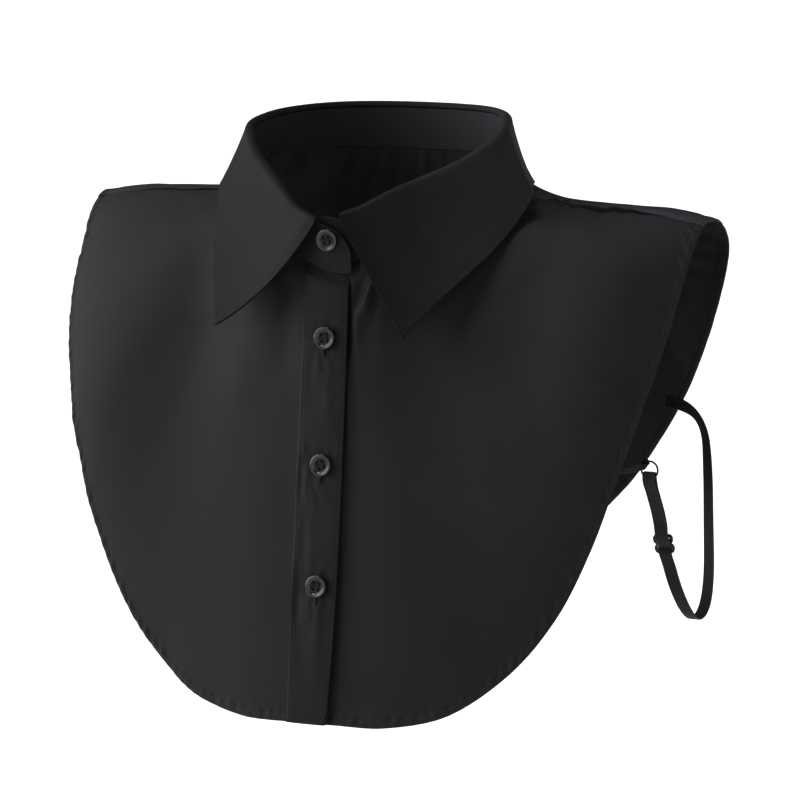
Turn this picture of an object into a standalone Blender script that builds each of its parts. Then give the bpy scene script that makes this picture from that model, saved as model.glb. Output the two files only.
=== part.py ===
"""Detachable shirt collar: a false shirt front and back with a pointed collar, worn under a jumper.

Frame, in metres: the origin is the centre of the neck opening at the height of the shoulders, +X is the
wearer's left, -Y the front and +Z up. Each cloth panel is an open surface with a Solidify wall. The
fronts, the back and the shoulders are one surface of cuts that fan out from the neck seam to the free
edge, so that the panels meet at the shoulder seams in one smooth sheet.
"""

import math
from collections import namedtuple

import bmesh
import bpy
import numpy as np
from mathutils import Matrix, Vector

MM = 0.001
UP = np.array([0.0, 0.0, 1.0])

# Cloth, in millimetres
PANEL_WALL = 1.0
BAND_WALL = 1.4
LEAF_WALL = 1.0
PLACKET_WALL = 1.2
SEAM_GAP = 0.3
NECK_SEAM_GAP = 0.5
LEAF_SEAM_GAP = 0.6
FOLD_RADIUS = 2.2
PANEL_TUCK = 2.0
BAND_TUCK = 2.8
LEAF_LAP_SHIFT = 2.0

# The collar band, half of it, from the centre back (row 0) round to its front end (row 13), which laps
# past the centre front. The seam joins it to the panels and the top carries the collar leaf.
Band = namedtuple("Band", "seam_x seam_y seam_z top_x top_y top_z")
BAND = [
    Band(0.0, 57.5, 12.6, 0.0, 53.0, 33.8),
    Band(21.5, 55.5, 12.7, 20.5, 50.5, 33.8),
    Band(41.0, 49.0, 13.0, 38.5, 43.5, 33.6),
    Band(56.5, 39.0, 13.0, 51.7, 31.8, 33.0),
    Band(66.0, 25.5, 12.0, 60.0, 18.2, 31.8),
    Band(69.5, 12.0, 9.0, 65.3, 6.0, 29.5),
    Band(70.0, -1.0, 5.0, 68.0, -4.0, 25.8),
    Band(66.0, -12.5, -1.5, 63.5, -12.5, 19.5),
    Band(57.5, -25.0, -9.5, 54.5, -22.5, 12.0),
    Band(45.0, -38.0, -17.0, 42.0, -33.5, 5.2),
    Band(33.0, -47.5, -23.5, 30.0, -44.0, -1.2),
    Band(18.0, -55.0, -31.0, 16.5, -54.0, -9.5),
    Band(3.0, -57.8, -37.0, 3.0, -59.5, -14.5),
    Band(-12.5, -56.8, -41.5, -12.5, -58.5, -21.0),
    Band(-27.0, -52.0, -45.0, -27.0, -53.5, -31.0),
]
BAND_ROWS = 60
ROWS_TO_BAND_END = 1.5
TAB_END = 13.1
TAB_PROUD = 1.2
TAB_ROUND_FROM = 12.45
TAB_ROUND_TOP = 0.45
TAB_ROUND_FOOT = 0.2
UNDER_END = 12.85
UNDER_RISE_FROM = 11.75
UNDER_RISE_TO = 12.7
UNDER_RISE = 5.0

# The collar leaf, half of it, from the centre back to the collar point: the place along the band that a
# cut hangs from, its free edge, and how far the cut swells out between the fold and that edge
Leaf = namedtuple("Leaf", "band edge_x edge_y edge_z swell")
LEAF = [
    Leaf(0.0, 0.0, 64.0, -4.0, 1.5),
    Leaf(1.0, 24.0, 62.5, -4.0, 1.5),
    Leaf(2.0, 46.0, 56.5, -2.5, 2.0),
    Leaf(3.0, 64.0, 43.5, 2.0, 2.5),
    Leaf(4.0, 73.5, 25.0, 3.0, 1.0),
    Leaf(5.0, 80.5, 9.0, 0.5, 0.5),
    Leaf(6.0, 87.5, -4.5, -2.5, 0.5),
    Leaf(7.0, 84.0, -15.0, -14.5, 1.0),
    Leaf(8.0, 78.0, -28.0, -27.0, 2.0),
    Leaf(9.0, 69.5, -44.0, -40.0, 3.0),
    Leaf(10.0, 61.5, -58.0, -51.5, 3.5),
    Leaf(10.9, 55.5, -67.0, -60.6, 3.0),
    Leaf(11.6, 51.8, -72.5, -67.0, 2.0),
]
LEAF_ROWS = 48
LEFT_TIP_DROP = 1.5
LEAF_FRONT_BOW_LEFT = 0.0
LEAF_FRONT_BOW_RIGHT = 5.0
LEAF_START_UNDER = 11.6
LEAF_START_OVER = 12.1

# The panels, half of them, from the centre back (row 0) over the shoulder to the front edge (row 21),
# which laps past the centre front: the place along the band seam that a cut fans out from, its end on
# the free edge, how far it drops under a straight line near the neck and swells out of it further on
Cut = namedtuple("Cut", "band edge_x edge_y edge_z dip swell")
CUTS = [
    Cut(0.0, 0.0, 67.0, -202.0, 0.0, 8.0),
    Cut(0.55, 52.0, 65.0, -194.0, 0.0, 8.0),
    Cut(1.05, 92.0, 61.0, -171.0, 1.0, 8.0),
    Cut(1.55, 121.0, 57.5, -141.0, 2.0, 8.0),
    Cut(2.1, 143.0, 54.5, -107.0, 4.0, 7.5),
    Cut(2.65, 158.0, 51.5, -75.0, 7.0, 7.0),
    Cut(3.2, 167.0, 49.0, -46.0, 11.0, 5.5),
    Cut(3.75, 171.0, 46.5, -27.0, 15.5, 3.5),
    Cut(4.3, 171.8, 35.0, -15.8, 18.5, 1.5),
    Cut(4.85, 171.3, 23.0, -12.8, 19.0, 1.0),
    Cut(5.4, 170.9, 13.5, -15.5, 18.0, 2.0),
    Cut(6.0, 170.3, 0.5, -30.0, 15.0, 5.0),
    Cut(6.6, 168.4, -15.5, -57.5, 10.0, 9.5),
    Cut(7.2, 163.0, -30.5, -91.0, 7.0, 11.5),
    Cut(7.8, 152.5, -42.0, -131.0, 5.5, 11.5),
    Cut(8.4, 139.4, -48.0, -170.5, 3.5, 10.0),
    Cut(9.0, 123.5, -52.0, -203.3, 2.0, 8.0),
    Cut(9.6, 101.3, -57.5, -231.5, 1.0, 6.0),
    Cut(10.3, 72.0, -65.5, -253.3, 0.0, 4.0),
    Cut(10.95, 41.0, -73.0, -261.2, 0.0, 2.0),
    Cut(11.5, 12.2, -76.0, -261.8, 0.0, 0.5),
    Cut(12.96, -10.0, -76.0, -261.8, 0.0, 0.5),
]
SHOULDER_SEAM = 10.0
SHOULDER_GAP = 0.05
# Near the neck the shoulder seam runs further back, and so do the cuts beside it
SEAM_SET_BACK = 1.8
SET_BACK_REACHES = (0.1, 0.45)
SET_BACK_PLACES = (5.0, 14.0)
PLACKET_EDGE = 20.0
FRONT_EDGE = 21.0
# Millimetres by which the placket's open edge swings out to the wearer's left, at reaches down from the seam
PLACKET_SWING = (
    (0.0, 1.0),
    (0.14, 1.5),
    (0.3, 2.2),
    (0.5, 2.6),
    (0.65, 2.8),
    (0.84, 1.8),
    (0.94, 0.9),
    (1.0, -0.9),
)
PLACKET_WIDTH = 22.2
BUTTONS_SWING = 0.75
FRONT_LAP = 20.97
CUT_STEPS = 12
DIP_TURN = 30
DIP_FADE = 1.5
FRONT_ROWS = 23
BACK_ROWS = 38
ROWS_TO_SHOULDER = 1.3

# Buttons, in millimetres: four-hole shirt buttons, below the neck seam on the placket
BUTTON_RADIUS = 5.5
BUTTON_THICK = 2.4
BUTTON_HOLE_RADIUS = 0.75
BUTTON_HOLE_OUT = 1.45
BUTTON_DROPS = (32.8, 95.4, 155.4)
BAND_BUTTON_AT = 12.4
BAND_BUTTON_HEIGHT = 0.73

# Elastic strap under each arm, in millimetres. It hangs from a ring that a cloth tab holds at the front,
# runs through a slider, round below the arm, and is sewn to the inside of the back panel.
STRAP_WIDTH = 6.6
STRAP_WALL = 1.0
STRAP_STEP = 5.0
RING_RADIUS = 4.3
RING_WIRE = 0.5
RING_CENTRE = np.array([161.8, -28.0, -130.7])
RIGHT_SIDE_SHIFT = np.array([-12.0, 4.0, 0.0])
SLIDER_AT = 38.5
SLIDER_WIDTH = 10.2
SLIDER_BAR = 1.2
SLIDER_BAR_PITCH = 4.6
SLIDER_WALL = 1.0
SLIDER_SLOT_WIDTH = 6.9
LOBE_ROUND = 1.8
RING_TAB_WIDTH = 4.0
RING_TAB_WALL = 0.8
RING_TAB_CUT = 14.0
RING_TAB_REACHES = (0.93, 0.965, 1.0)
RING_TAB_LEAN = 40
RING_TAB_DEPTH = 0.7

# The strap's middle line on the wearer's left, from the ring to the back panel, with the way that its
# width points: its bearing from +X and its rise from level, in degrees
Stop = namedtuple("Stop", "x y z bearing rise")
STRAP = [
    Stop(161.8, -28.0, -133.1, 0, 0),
    Stop(162.0, -27.6, -137.5, 2, 0),
    Stop(163.2, -20.5, -153.0, 6, 0),
    Stop(163.6, -12.5, -172.5, 9, 0),
    Stop(164.8, -3.0, -191.5, 10, 0),
    Stop(165.6, 9.0, -205.5, 6, 0),
    Stop(165.4, 21.0, -211.0, -2, 0),
    Stop(165.0, 32.5, -206.0, -9, 0),
    Stop(164.4, 38.5, -191.0, -14, 0),
    Stop(163.0, 41.0, -165.0, -18, 0),
    Stop(161.4, 43.0, -139.0, -22, 5),
    Stop(159.2, 44.0, -122.0, -34, 25),
    Stop(153.6, 45.0, -112.6, -46, 45),
    Stop(144.8, 46.5, -108.4, -33, 66),
    Stop(136.5, 47.5, -107.2, -8, 84),
]

# How far behind that line each layer of the strap lies, at stops measured from the slider. The running
# layer starts round the ring's wire and weaves through the slider's three bars.
ROUND_WIRE = RING_WIRE + SEAM_GAP + STRAP_WALL / 2
ROUND_BAR = SLIDER_WALL / 2 + SEAM_GAP + STRAP_WALL / 2
TWO_LAYERS = STRAP_WALL + SEAM_GAP
RUNNING_LAYER = [
    (-SLIDER_AT, -ROUND_WIRE),
    (-SLIDER_AT + 3.5, -ROUND_WIRE),
    (-SLIDER_AT + 9, -TWO_LAYERS / 2),
    (-SLIDER_BAR_PITCH - 6, -TWO_LAYERS / 2),
    (-SLIDER_BAR_PITCH - 1.2, ROUND_BAR),
    (-SLIDER_BAR_PITCH + 0.9, ROUND_BAR),
    (-1.0, -ROUND_BAR),
    (1.0, -ROUND_BAR),
    (SLIDER_BAR_PITCH - 0.9, ROUND_BAR),
    (SLIDER_BAR_PITCH + 1.2, ROUND_BAR),
    (SLIDER_BAR_PITCH + 8, 0.0),
]
# The layer that comes back from the ring ends at the slider's middle bar
RETURN_LAYER = [
    (-SLIDER_AT, ROUND_WIRE),
    (-SLIDER_AT + 3.5, ROUND_WIRE),
    (-SLIDER_AT + 9, TWO_LAYERS / 2),
    (-SLIDER_BAR_PITCH - 6, TWO_LAYERS / 2),
    (-SLIDER_BAR_PITCH - 1.2, ROUND_BAR + TWO_LAYERS),
    (-SLIDER_BAR_PITCH + 1.4, ROUND_BAR + TWO_LAYERS),
    (0.0, ROUND_BAR),
]
# Where both layers have a section, from the ring down, and where the returning layer ends
LAYER_SECTIONS = [0.0, 3.5, 9.0, 15.0, 22.0, SLIDER_AT - 10.6, SLIDER_AT - 8.2, SLIDER_AT - 5.8]
RETURN_END = [SLIDER_AT - 3.2, SLIDER_AT - 1.6, SLIDER_AT, SLIDER_AT + 0.8]
RUN_FROM = SLIDER_AT + 18

BLACK_CLOTH = (0.030, 0.030, 0.036, 1.0)
BLACK_ELASTIC = (0.022, 0.022, 0.024, 1.0)
BLACK_PLASTIC = (0.015, 0.015, 0.016, 1.0)
BLACK_ENAMEL = (0.018, 0.018, 0.020, 1.0)

LEFT, RIGHT = 1, -1


def clear_scene():
    for old in list(bpy.data.objects):
        bpy.data.objects.remove(old, do_unlink=True)


def material(name, colour, roughness, metallic=0.0):
    made = bpy.data.materials.get(name) or bpy.data.materials.new(name)
    made.use_nodes = True
    shader = made.node_tree.nodes["Principled BSDF"]
    shader.inputs["Base Color"].default_value = colour
    shader.inputs["Roughness"].default_value = roughness
    shader.inputs["Metallic"].default_value = metallic
    return made


def unit(v):
    return np.asarray(v, float) / np.linalg.norm(v)


def ease(value, start, end):
    t = min(max((value - start) / (end - start), 0.0), 1.0)
    return t * t * (3 - 2 * t)


def between(rows, place):
    """The row at a place between the whole-numbered rows, on a smooth curve through them all. The part
    is symmetrical, so before row 0, the centre back, come the same rows with X turned round."""
    mirror = np.array([-1.0 if name.endswith("_x") else 1.0 for name in rows[0]._fields])
    if "band" in rows[0]._fields:
        mirror[rows[0]._fields.index("band")] = -1.0

    def row(i):
        return mirror * rows[-i] if i < 0 else np.array(rows[min(i, len(rows) - 1)])

    i = min(math.floor(place), len(rows) - 2)
    t = place - i
    before, here, ahead, beyond = (row(i + k) for k in (-1, 0, 1, 2))
    bend = 2 * before - 5 * here + 4 * ahead - beyond
    twist = 3 * (here - ahead) + beyond - before
    return here + 0.5 * t * (ahead - before + t * (bend + t * twist))


def on_side(side, xyz):
    return np.array([side * xyz[0], xyz[1], xyz[2]])


def band_line(side, place):
    """Seam and top of the collar band, and the way out. At the front the left end lies under the right."""
    row = between(BAND, place)
    seam, top = row[:3], row[3:]
    ahead = between(BAND, place + 0.01)[:3] - between(BAND, place - 0.01)[:3]
    inward = unit(np.cross(ahead, UP))
    if side == LEFT:
        tuck = BAND_TUCK * ease(place, 10.2, 11.3)
    else:
        tuck = -TAB_PROUD * ease(place, 11.2, 12.2)
    top = top + inward * tuck
    if side == LEFT:
        seam = seam + inward * tuck
    return on_side(side, seam), on_side(side, top), on_side(side, -inward)


def cut_line(place):
    """One cut of the wearer's left half: its two ends and the way out of the cloth at its middle."""

    def ends(at):
        row = between(CUTS, at)
        return between(BAND, row[0])[:3], row[1:4], row[4], row[5]

    neck, edge, dip, swell = ends(place)
    neck_a, edge_a, _, _ = ends(place - 0.05)
    neck_b, edge_b, _, _ = ends(place + 0.05)
    out = unit(np.cross(neck_b + edge_b - neck_a - edge_a, edge - neck))
    return neck, edge, out, dip, swell


def on_panel(side, place, reach):
    """A point of the panels' outer face: reach is 0 at the neck seam and 1 at the free edge."""
    neck, edge, out, dip, swell = cut_line(place)
    near = (1 - reach) ** DIP_FADE * (1 - (1 - reach) ** DIP_TURN)
    far = 6.75 * reach**2 * (1 - reach)
    return on_side(side, neck + (edge - neck) * reach + out * swell * far - UP * dip * near)


def panel_frame(side, place, reach):
    """A point of the panels' outer face, the way down the cut there and the way out of the cloth."""
    step = 0.01
    down = on_panel(side, place, min(reach + step, 1)) - on_panel(side, place, max(reach - step, 0))
    round_body = on_panel(side, place + step, reach) - on_panel(side, place - step, reach)
    out = unit(np.cross(round_body, down)) * side
    return on_panel(side, place, reach), unit(down), out


def beside_seam(place, reach):
    """A row's place on the cut at this reach, set back with the shoulder seam near the neck."""
    near = 1 - ease(reach, *SET_BACK_REACHES)
    if abs(place) < SHOULDER_SEAM:
        share = ease(abs(place), SET_BACK_PLACES[0], SHOULDER_SEAM)
    else:
        share = 1 - ease(abs(place), SHOULDER_SEAM, SET_BACK_PLACES[1])
    return place - math.copysign(SEAM_SET_BACK * near * share, place)


def cut_reaches(steps):
    """Places along a cut, closer together near its ends, where the cloth bends most."""
    return (1 - np.cos(np.pi * np.linspace(0, 1, steps + 1))) / 2


def panel_point(side, place, reach, out_by=0.0):
    point, _, out = panel_frame(side, place, reach)
    return point + out * out_by


def collection_for(name):
    made = bpy.data.collections.new(name)
    bpy.context.scene.collection.children.link(made)
    return made


def add_object(name, data, finish, collection):
    made = bpy.data.objects.new(name, data)
    collection.objects.link(made)
    data.materials.append(finish)
    return made


def sheet(name, rows, wall, offset, finish, collection, turn_over=False):
    """A cloth wall over a grid of points in millimetres. The rows run round the body and each goes from
    the neck outwards. offset is -1 where the points are the outer face and 0 where they are the middle."""
    mesh = bpy.data.meshes.new(name)
    shape = bmesh.new()
    grid = [[shape.verts.new(point * MM) for point in row] for row in rows]
    for first, second in zip(grid, grid[1:]):
        for a, b, c, d in zip(first, first[1:], second[1:], second):
            shape.faces.new((a, b, c, d) if turn_over else (d, c, b, a))
    shape.to_mesh(mesh)
    shape.free()
    mesh.shade_smooth()
    made = add_object(name, mesh, finish, collection)
    shell = made.modifiers.new("wall", "SOLIDIFY")
    shell.thickness = wall * MM
    shell.offset = offset
    shell.use_even_offset = True
    return made


def front_panel(name, side, collection, finish):
    rows = []
    start = SHOULDER_SEAM + SHOULDER_GAP
    for along in np.linspace(0, 1, FRONT_ROWS + 1):
        place = start + (FRONT_LAP - start) * along**ROWS_TO_SHOULDER
        tuck = PANEL_TUCK * ease(place, 18.3, 19.6) if side == LEFT else 0.0
        reaches = cut_reaches(CUT_STEPS)
        rows.append([panel_point(side, beside_seam(place, reach), reach, -tuck) for reach in reaches])
    return sheet(name, rows, PANEL_WALL, -1, finish, collection, side == RIGHT)


def back_panel(collection, finish):
    rows = []
    end = SHOULDER_SEAM - SHOULDER_GAP
    for along in np.linspace(-1, 1, BACK_ROWS + 1):
        place = end * math.copysign(1 - (1 - abs(along)) ** ROWS_TO_SHOULDER, along)
        reaches = cut_reaches(CUT_STEPS)
        rows.append([panel_point(LEFT, beside_seam(place, reach), reach) for reach in reaches])
    return sheet("back_panel", rows, PANEL_WALL, -1, finish, collection)


def swung(place, reach, share):
    """A place on the placket, moved by a share of what its open edge swings at this reach."""
    return place + share * np.interp(reach, *zip(*PLACKET_SWING)) / PLACKET_WIDTH


def placket(collection, finish):
    """The buttonhole band, a strip of its own on the edge of the wearer's right front."""
    rows = []
    outer_face = SEAM_GAP + PLACKET_WALL
    for place in np.linspace(PLACKET_EDGE, FRONT_EDGE, 5):
        reaches = np.linspace(0, 1, 15)
        share = place - PLACKET_EDGE
        rows.append([panel_point(RIGHT, swung(place, reach, share), reach, outer_face) for reach in reaches])
    return sheet("placket", rows, PLACKET_WALL, -1, finish, collection, True)


def band_point(side, place, height, out_by=0.0):
    """A point of the collar band. Its right end is a tab with round corners, and its left end, which
    lies flat under that tab, stands a little higher."""
    seam, top, out = band_line(side, place)
    rise = unit(top - seam)
    foot = seam + rise * NECK_SEAM_GAP
    if side == RIGHT:
        t = min(max((place - TAB_ROUND_FROM) / (TAB_END - TAB_ROUND_FROM), 0.0), 1.0)
        rounding = 1 - math.sqrt(1 - t * t)
        height = TAB_ROUND_FOOT * rounding + height * (1 - (TAB_ROUND_TOP + TAB_ROUND_FOOT) * rounding)
    else:
        t = min(max((place - UNDER_RISE_FROM) / (UNDER_RISE_TO - UNDER_RISE_FROM), 0.0), 1.0)
        top = top + UP * UNDER_RISE * (1 - (1 - t) ** 2)
    return foot + (top - foot) * height + out * out_by


def collar_band(collection, finish):
    """The band that stands round the neck."""
    rows = []
    for along in np.linspace(-1, 1, BAND_ROWS + 1):
        side, end = (LEFT, UNDER_END) if along > 0 else (RIGHT, TAB_END)
        place = end * (1 - (1 - abs(along)) ** ROWS_TO_BAND_END)
        rows.append([band_point(side, place, height) for height in np.linspace(0, 1, 4)])
    return sheet("collar_band", rows, BAND_WALL, 0, finish, collection, True)


def leaf_cut(side, along):
    """One cut of the collar leaf: it rises from the band's top, rolls over and falls to its free edge."""
    row = between(LEAF, along)
    tip = len(LEAF) - 1
    start = LEAF_START_UNDER if side == LEFT else LEAF_START_OVER
    place = row[0] + (start - LEAF[-1].band) * ease(along, tip - 2, tip)
    seam, top, out = band_line(side, place)
    rise = unit(top - seam)
    foot = top + rise * LEAF_SEAM_GAP
    points = [foot]
    for angle in (60, 120, 180):
        turn = math.radians(angle)
        points.append(foot + FOLD_RADIUS * (out * (1 - math.cos(turn)) + rise * math.sin(turn)))
    edge = on_side(side, row[1:4]) - np.array([LEAF_LAP_SHIFT * ease(along, 8, tip), 0, 0])
    if side == LEFT:
        edge = edge - UP * LEFT_TIP_DROP * max((along - tip) / 5 + 1, 0) ** 1.5
    start_of_fall = points[-1]
    ahead = between(LEAF, min(along + 0.1, tip))[1:4] - between(LEAF, along - 0.1)[1:4]
    swell_way = unit(np.cross(on_side(side, ahead), edge - start_of_fall)) * -side
    front_bow = LEAF_FRONT_BOW_LEFT if side == LEFT else LEAF_FRONT_BOW_RIGHT
    forward = unit(on_side(side, ahead)) * front_bow * ease(along, tip - 3, tip)
    for reach in np.linspace(0, 1, 6)[1:]:
        bow = 4 * reach * (1 - reach)
        fall = (edge - start_of_fall) * reach
        points.append(start_of_fall + fall + (swell_way * row[4] + forward) * bow)
    return points


def collar_leaf(collection, finish):
    tip = len(LEAF) - 1
    rows = []
    for along in np.linspace(-tip, tip, LEAF_ROWS + 1):
        rows.append(leaf_cut(LEFT if along > 0 else RIGHT, abs(along)))
    return sheet("collar_leaf", rows, LEAF_WALL, 0, finish, collection, True)


def button_meshes():
    """A turned button with a raised rim and four holes."""
    r, t = BUTTON_RADIUS, BUTTON_THICK
    profile = [
        (0.0, 0.60 * t),
        (0.55 * r, 0.60 * t),
        (0.70 * r, 0.88 * t),
        (0.84 * r, 1.0 * t),
        (0.96 * r, 0.85 * t),
        (1.0 * r, 0.50 * t),
        (0.88 * r, 0.10 * t),
        (0.60 * r, 0.0),
        (0.0, 0.0),
    ]
    mesh = bpy.data.meshes.new("button")
    shape = bmesh.new()
    points = [shape.verts.new((x * MM, 0, z * MM)) for x, z in profile]
    for a, b in zip(points, points[1:]):
        shape.edges.new((a, b))
    shape.to_mesh(mesh)
    shape.free()

    holes = bpy.data.meshes.new("button_holes")
    shape = bmesh.new()
    for x in (-1, 1):
        for y in (-1, 1):
            place = Matrix.Translation(Vector((x, y, 0)) * BUTTON_HOLE_OUT * MM)
            bmesh.ops.create_cone(
                shape,
                cap_ends=True,
                segments=10,
                radius1=BUTTON_HOLE_RADIUS * MM,
                radius2=BUTTON_HOLE_RADIUS * MM,
                depth=3 * BUTTON_THICK * MM,
                matrix=place,
            )
    shape.to_mesh(holes)
    shape.free()
    return mesh, holes


def button(name, centre, out, meshes, collection, cutters, finish):
    """Its local Z stands out of the cloth and its local Y points up the placket."""
    across = unit(np.cross(UP, out))
    up = np.cross(out, across)
    place = Matrix.Identity(4)
    for column, axis in enumerate((across, up, out)):
        place.col[column][:3] = axis
    place.col[3][:3] = centre * MM
    made = bpy.data.objects.new(name, meshes[0])
    collection.objects.link(made)
    if not meshes[0].materials:
        meshes[0].materials.append(finish)
    made.matrix_world = place
    turned = made.modifiers.new("turned", "SCREW")
    turned.angle = math.tau
    turned.steps = 24
    turned.render_steps = 24
    turned.use_merge_vertices = True
    turned.merge_threshold = 0.00005
    cutter = bpy.data.objects.new(name + "_holes", meshes[1])
    cutters.objects.link(cutter)
    cutter.matrix_world = place
    cutter.hide_render = True
    cutter.display_type = "WIRE"
    drilled = made.modifiers.new("holes", "BOOLEAN")
    drilled.operation = "DIFFERENCE"
    drilled.object = cutter
    return made


def buttons(collection, cutters, finish):
    meshes = button_meshes()
    outer_face = BAND_WALL / 2 + SEAM_GAP
    centre = band_point(RIGHT, BAND_BUTTON_AT, BAND_BUTTON_HEIGHT, outer_face)
    seam, top, out = band_line(RIGHT, BAND_BUTTON_AT)
    rise = unit(top - seam)
    out = unit(out - rise * (out @ rise))
    button("button_1", centre, out, meshes, collection, cutters, finish)
    middle = (PLACKET_EDGE + FRONT_EDGE) / 2
    seam_to_hem = np.linalg.norm(on_panel(RIGHT, middle, 1) - on_panel(RIGHT, middle, 0))
    for count, drop in enumerate(BUTTON_DROPS, start=2):
        reach = drop / seam_to_hem
        point, _, out = panel_frame(RIGHT, swung(middle, reach, BUTTONS_SWING), reach)
        centre = point + out * (SEAM_GAP + PLACKET_WALL + SEAM_GAP)
        button(f"button_{count}", centre, out, meshes, collection, cutters, finish)


def smooth_route(points, step):
    """A smooth curve through the points, with a point about every step millimetres."""
    Stop = namedtuple("Stop", " ".join(f"c{i}" for i in range(len(points[0]))))
    stops = [Stop(*point) for point in points]
    found = []
    for i in range(len(stops) - 1):
        length = np.linalg.norm(np.subtract(points[i + 1], points[i])[:3])
        count = max(1, round(length / step))
        found += [between([stops[0]] + stops, i + 1 + k / count) for k in range(count)]
    return np.array(found + [points[-1]], float)


def ribbon(name, route, acrosses, width, wall, finish, collection):
    """Flat webbing along a route: a loft of its own oblong section."""
    mesh = bpy.data.meshes.new(name)
    shape = bmesh.new()
    rings = []
    for i, (point, across) in enumerate(zip(route, acrosses)):
        ahead = route[min(i + 1, len(route) - 1)] - route[max(i - 1, 0)]
        ahead = unit(ahead)
        across = unit(across - ahead * (across @ ahead))
        face = np.cross(ahead, across)
        corners = ((-1, -1), (1, -1), (1, 1), (-1, 1))
        ring = [point + across * a * width / 2 + face * f * wall / 2 for a, f in corners]
        rings.append([shape.verts.new(corner * MM) for corner in ring])
    for first, second in zip(rings, rings[1:]):
        for k in range(4):
            shape.faces.new((first[k], first[k - 1], second[k - 1], second[k]))
    shape.faces.new(rings[0])
    shape.faces.new(rings[-1][::-1])
    bmesh.ops.recalc_face_normals(shape, faces=shape.faces)
    shape.to_mesh(mesh)
    shape.free()
    return add_object(name, mesh, finish, collection)


def woven(stops, distance):
    """How far behind the strap's middle line a layer lies, from its table of stops."""
    return np.interp(distance - SLIDER_AT, *zip(*stops))


def hang(side, xyz):
    """A point of the wearer's left strap, or its place on the right, where the strap hangs further in."""
    return on_side(side, xyz if side == LEFT else xyz + RIGHT_SIDE_SHIFT)


def strap_line(side):
    """Points, ways across and distances along the strap's middle line."""
    rows = smooth_route([tuple(stop) for stop in STRAP], 1.0)
    line = np.array([hang(side, point) for point in rows[:, :3]])
    bearing, rise = np.radians(rows[:, 3]), np.radians(rows[:, 4])
    across = np.stack([np.cos(bearing) * np.cos(rise), np.sin(bearing) * np.cos(rise), np.sin(rise)], 1)
    across[:, 0] *= side
    distance = np.concatenate([[0], np.cumsum(np.linalg.norm(np.diff(line, axis=0), axis=1))])
    return line, across, distance


def strap(side, word, collection, finish):
    """The strap, as one ribbon from the slider's bar up round the ring and down to the back panel."""
    line, across, distance = strap_line(side)

    def at(rows, where):
        return np.array([np.interp(where, distance, rows[:, k]) for k in range(3)])

    def place(where, shift):
        ahead = unit(at(line, where + 0.5) - at(line, where - 0.5))
        way = at(across, where)
        behind = unit(np.cross(ahead, way)) * side
        return at(line, where) + behind * shift, way, ahead, behind

    weave = [SLIDER_AT + stop for stop, _ in RUNNING_LAYER[5:]]
    run = list(np.arange(RUN_FROM, distance[-1] - STRAP_STEP / 2, STRAP_STEP)) + [distance[-1]]
    points, ways = [], []
    for where in RETURN_END[::-1] + LAYER_SECTIONS[::-1]:
        point, way, _, _ = place(where, woven(RETURN_LAYER, where))
        points.append(point)
        ways.append(way)
    start, way, ahead, behind = place(0.0, 0.0)  # round the ring's wire
    for degrees in range(30, 180, 30):
        turn = math.radians(degrees)
        points.append(start + ROUND_WIRE * (behind * math.cos(turn) - ahead * math.sin(turn)))
        ways.append(way)
    for where in LAYER_SECTIONS + weave + run:
        point, way, _, _ = place(where, woven(RUNNING_LAYER, where))
        points.append(point)
        ways.append(way)
    ribbon(f"strap_{word}", points, ways, STRAP_WIDTH, STRAP_WALL, finish, collection)
    return place(SLIDER_AT, 0.0)


def ring(side, word, collection, finish):
    bpy.ops.mesh.primitive_torus_add(
        major_segments=24,
        minor_segments=8,
        major_radius=RING_RADIUS * MM,
        minor_radius=RING_WIRE * MM,
        location=hang(side, RING_CENTRE) * MM,
        rotation=(math.radians(90), 0, 0),
    )
    made = bpy.context.object
    made.name = f"ring_{word}"
    for old in list(made.users_collection):
        old.objects.unlink(made)
    collection.objects.link(made)
    made.data.materials.append(finish)
    made.data.shade_smooth()


def ring_tab(side, word, collection, finish):
    """A strip of cloth folded round the ring's wire, with both ends sewn inside the front's free edge."""
    bow = RING_RADIUS - math.sqrt(RING_RADIUS**2 - (RING_TAB_WIDTH / 2) ** 2)
    round_wire = RING_WIRE + SEAM_GAP + RING_TAB_WALL / 2 + bow
    lean = math.radians(RING_TAB_LEAN)
    from_centre = np.array([-math.cos(lean), 0.0, math.sin(lean)])
    along_wire = on_side(side, (math.sin(lean), 0.0, math.cos(lean)))
    wire = hang(side, RING_CENTRE + from_centre * (RING_RADIUS - bow / 2))
    apart = (RING_TAB_WALL + SEAM_GAP) / 2
    depth = PANEL_WALL + RING_TAB_DEPTH + RING_TAB_WALL / 2 + apart
    _, down, out = panel_frame(side, RING_TAB_CUT, 1.0)
    along_edge = unit(np.cross(out, down)) * side
    middle = [panel_point(side, RING_TAB_CUT, reach, -depth) for reach in RING_TAB_REACHES]
    ahead = unit(wire - middle[-1])
    near = unit(np.cross(ahead, along_wire)) * -side
    before_wire = wire - ahead * 2 * round_wire
    points = [point + out * apart for point in middle] + [before_wire - near * round_wire * 0.75]
    for degrees in range(0, 181, 30):
        turn = math.radians(degrees)
        points.append(wire + round_wire * (-near * math.cos(turn) + ahead * math.sin(turn)))
    points += [before_wire + near * round_wire * 0.75]
    points += [point - out * apart for point in middle[::-1]]
    sewn = [along_edge] * len(middle)
    ways = sewn + [along_wire] * (len(points) - 2 * len(middle)) + sewn
    ribbon(f"ring_tab_{word}", points, ways, RING_TAB_WIDTH, RING_TAB_WALL, finish, collection)


def rounded_outline(width, height, corner, steps=4):
    """Points round an oblong with round corners, counter-clockwise."""
    points = []
    for quarter, (x, y) in enumerate(((1, 1), (-1, 1), (-1, -1), (1, -1))):
        for k in range(steps + 1):
            turn = math.radians(90 * (quarter + k / steps))
            dx, dy = corner * math.cos(turn), corner * math.sin(turn)
            points.append((x * (width / 2 - corner) + dx, y * (height / 2 - corner) + dy))
    return points


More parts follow.
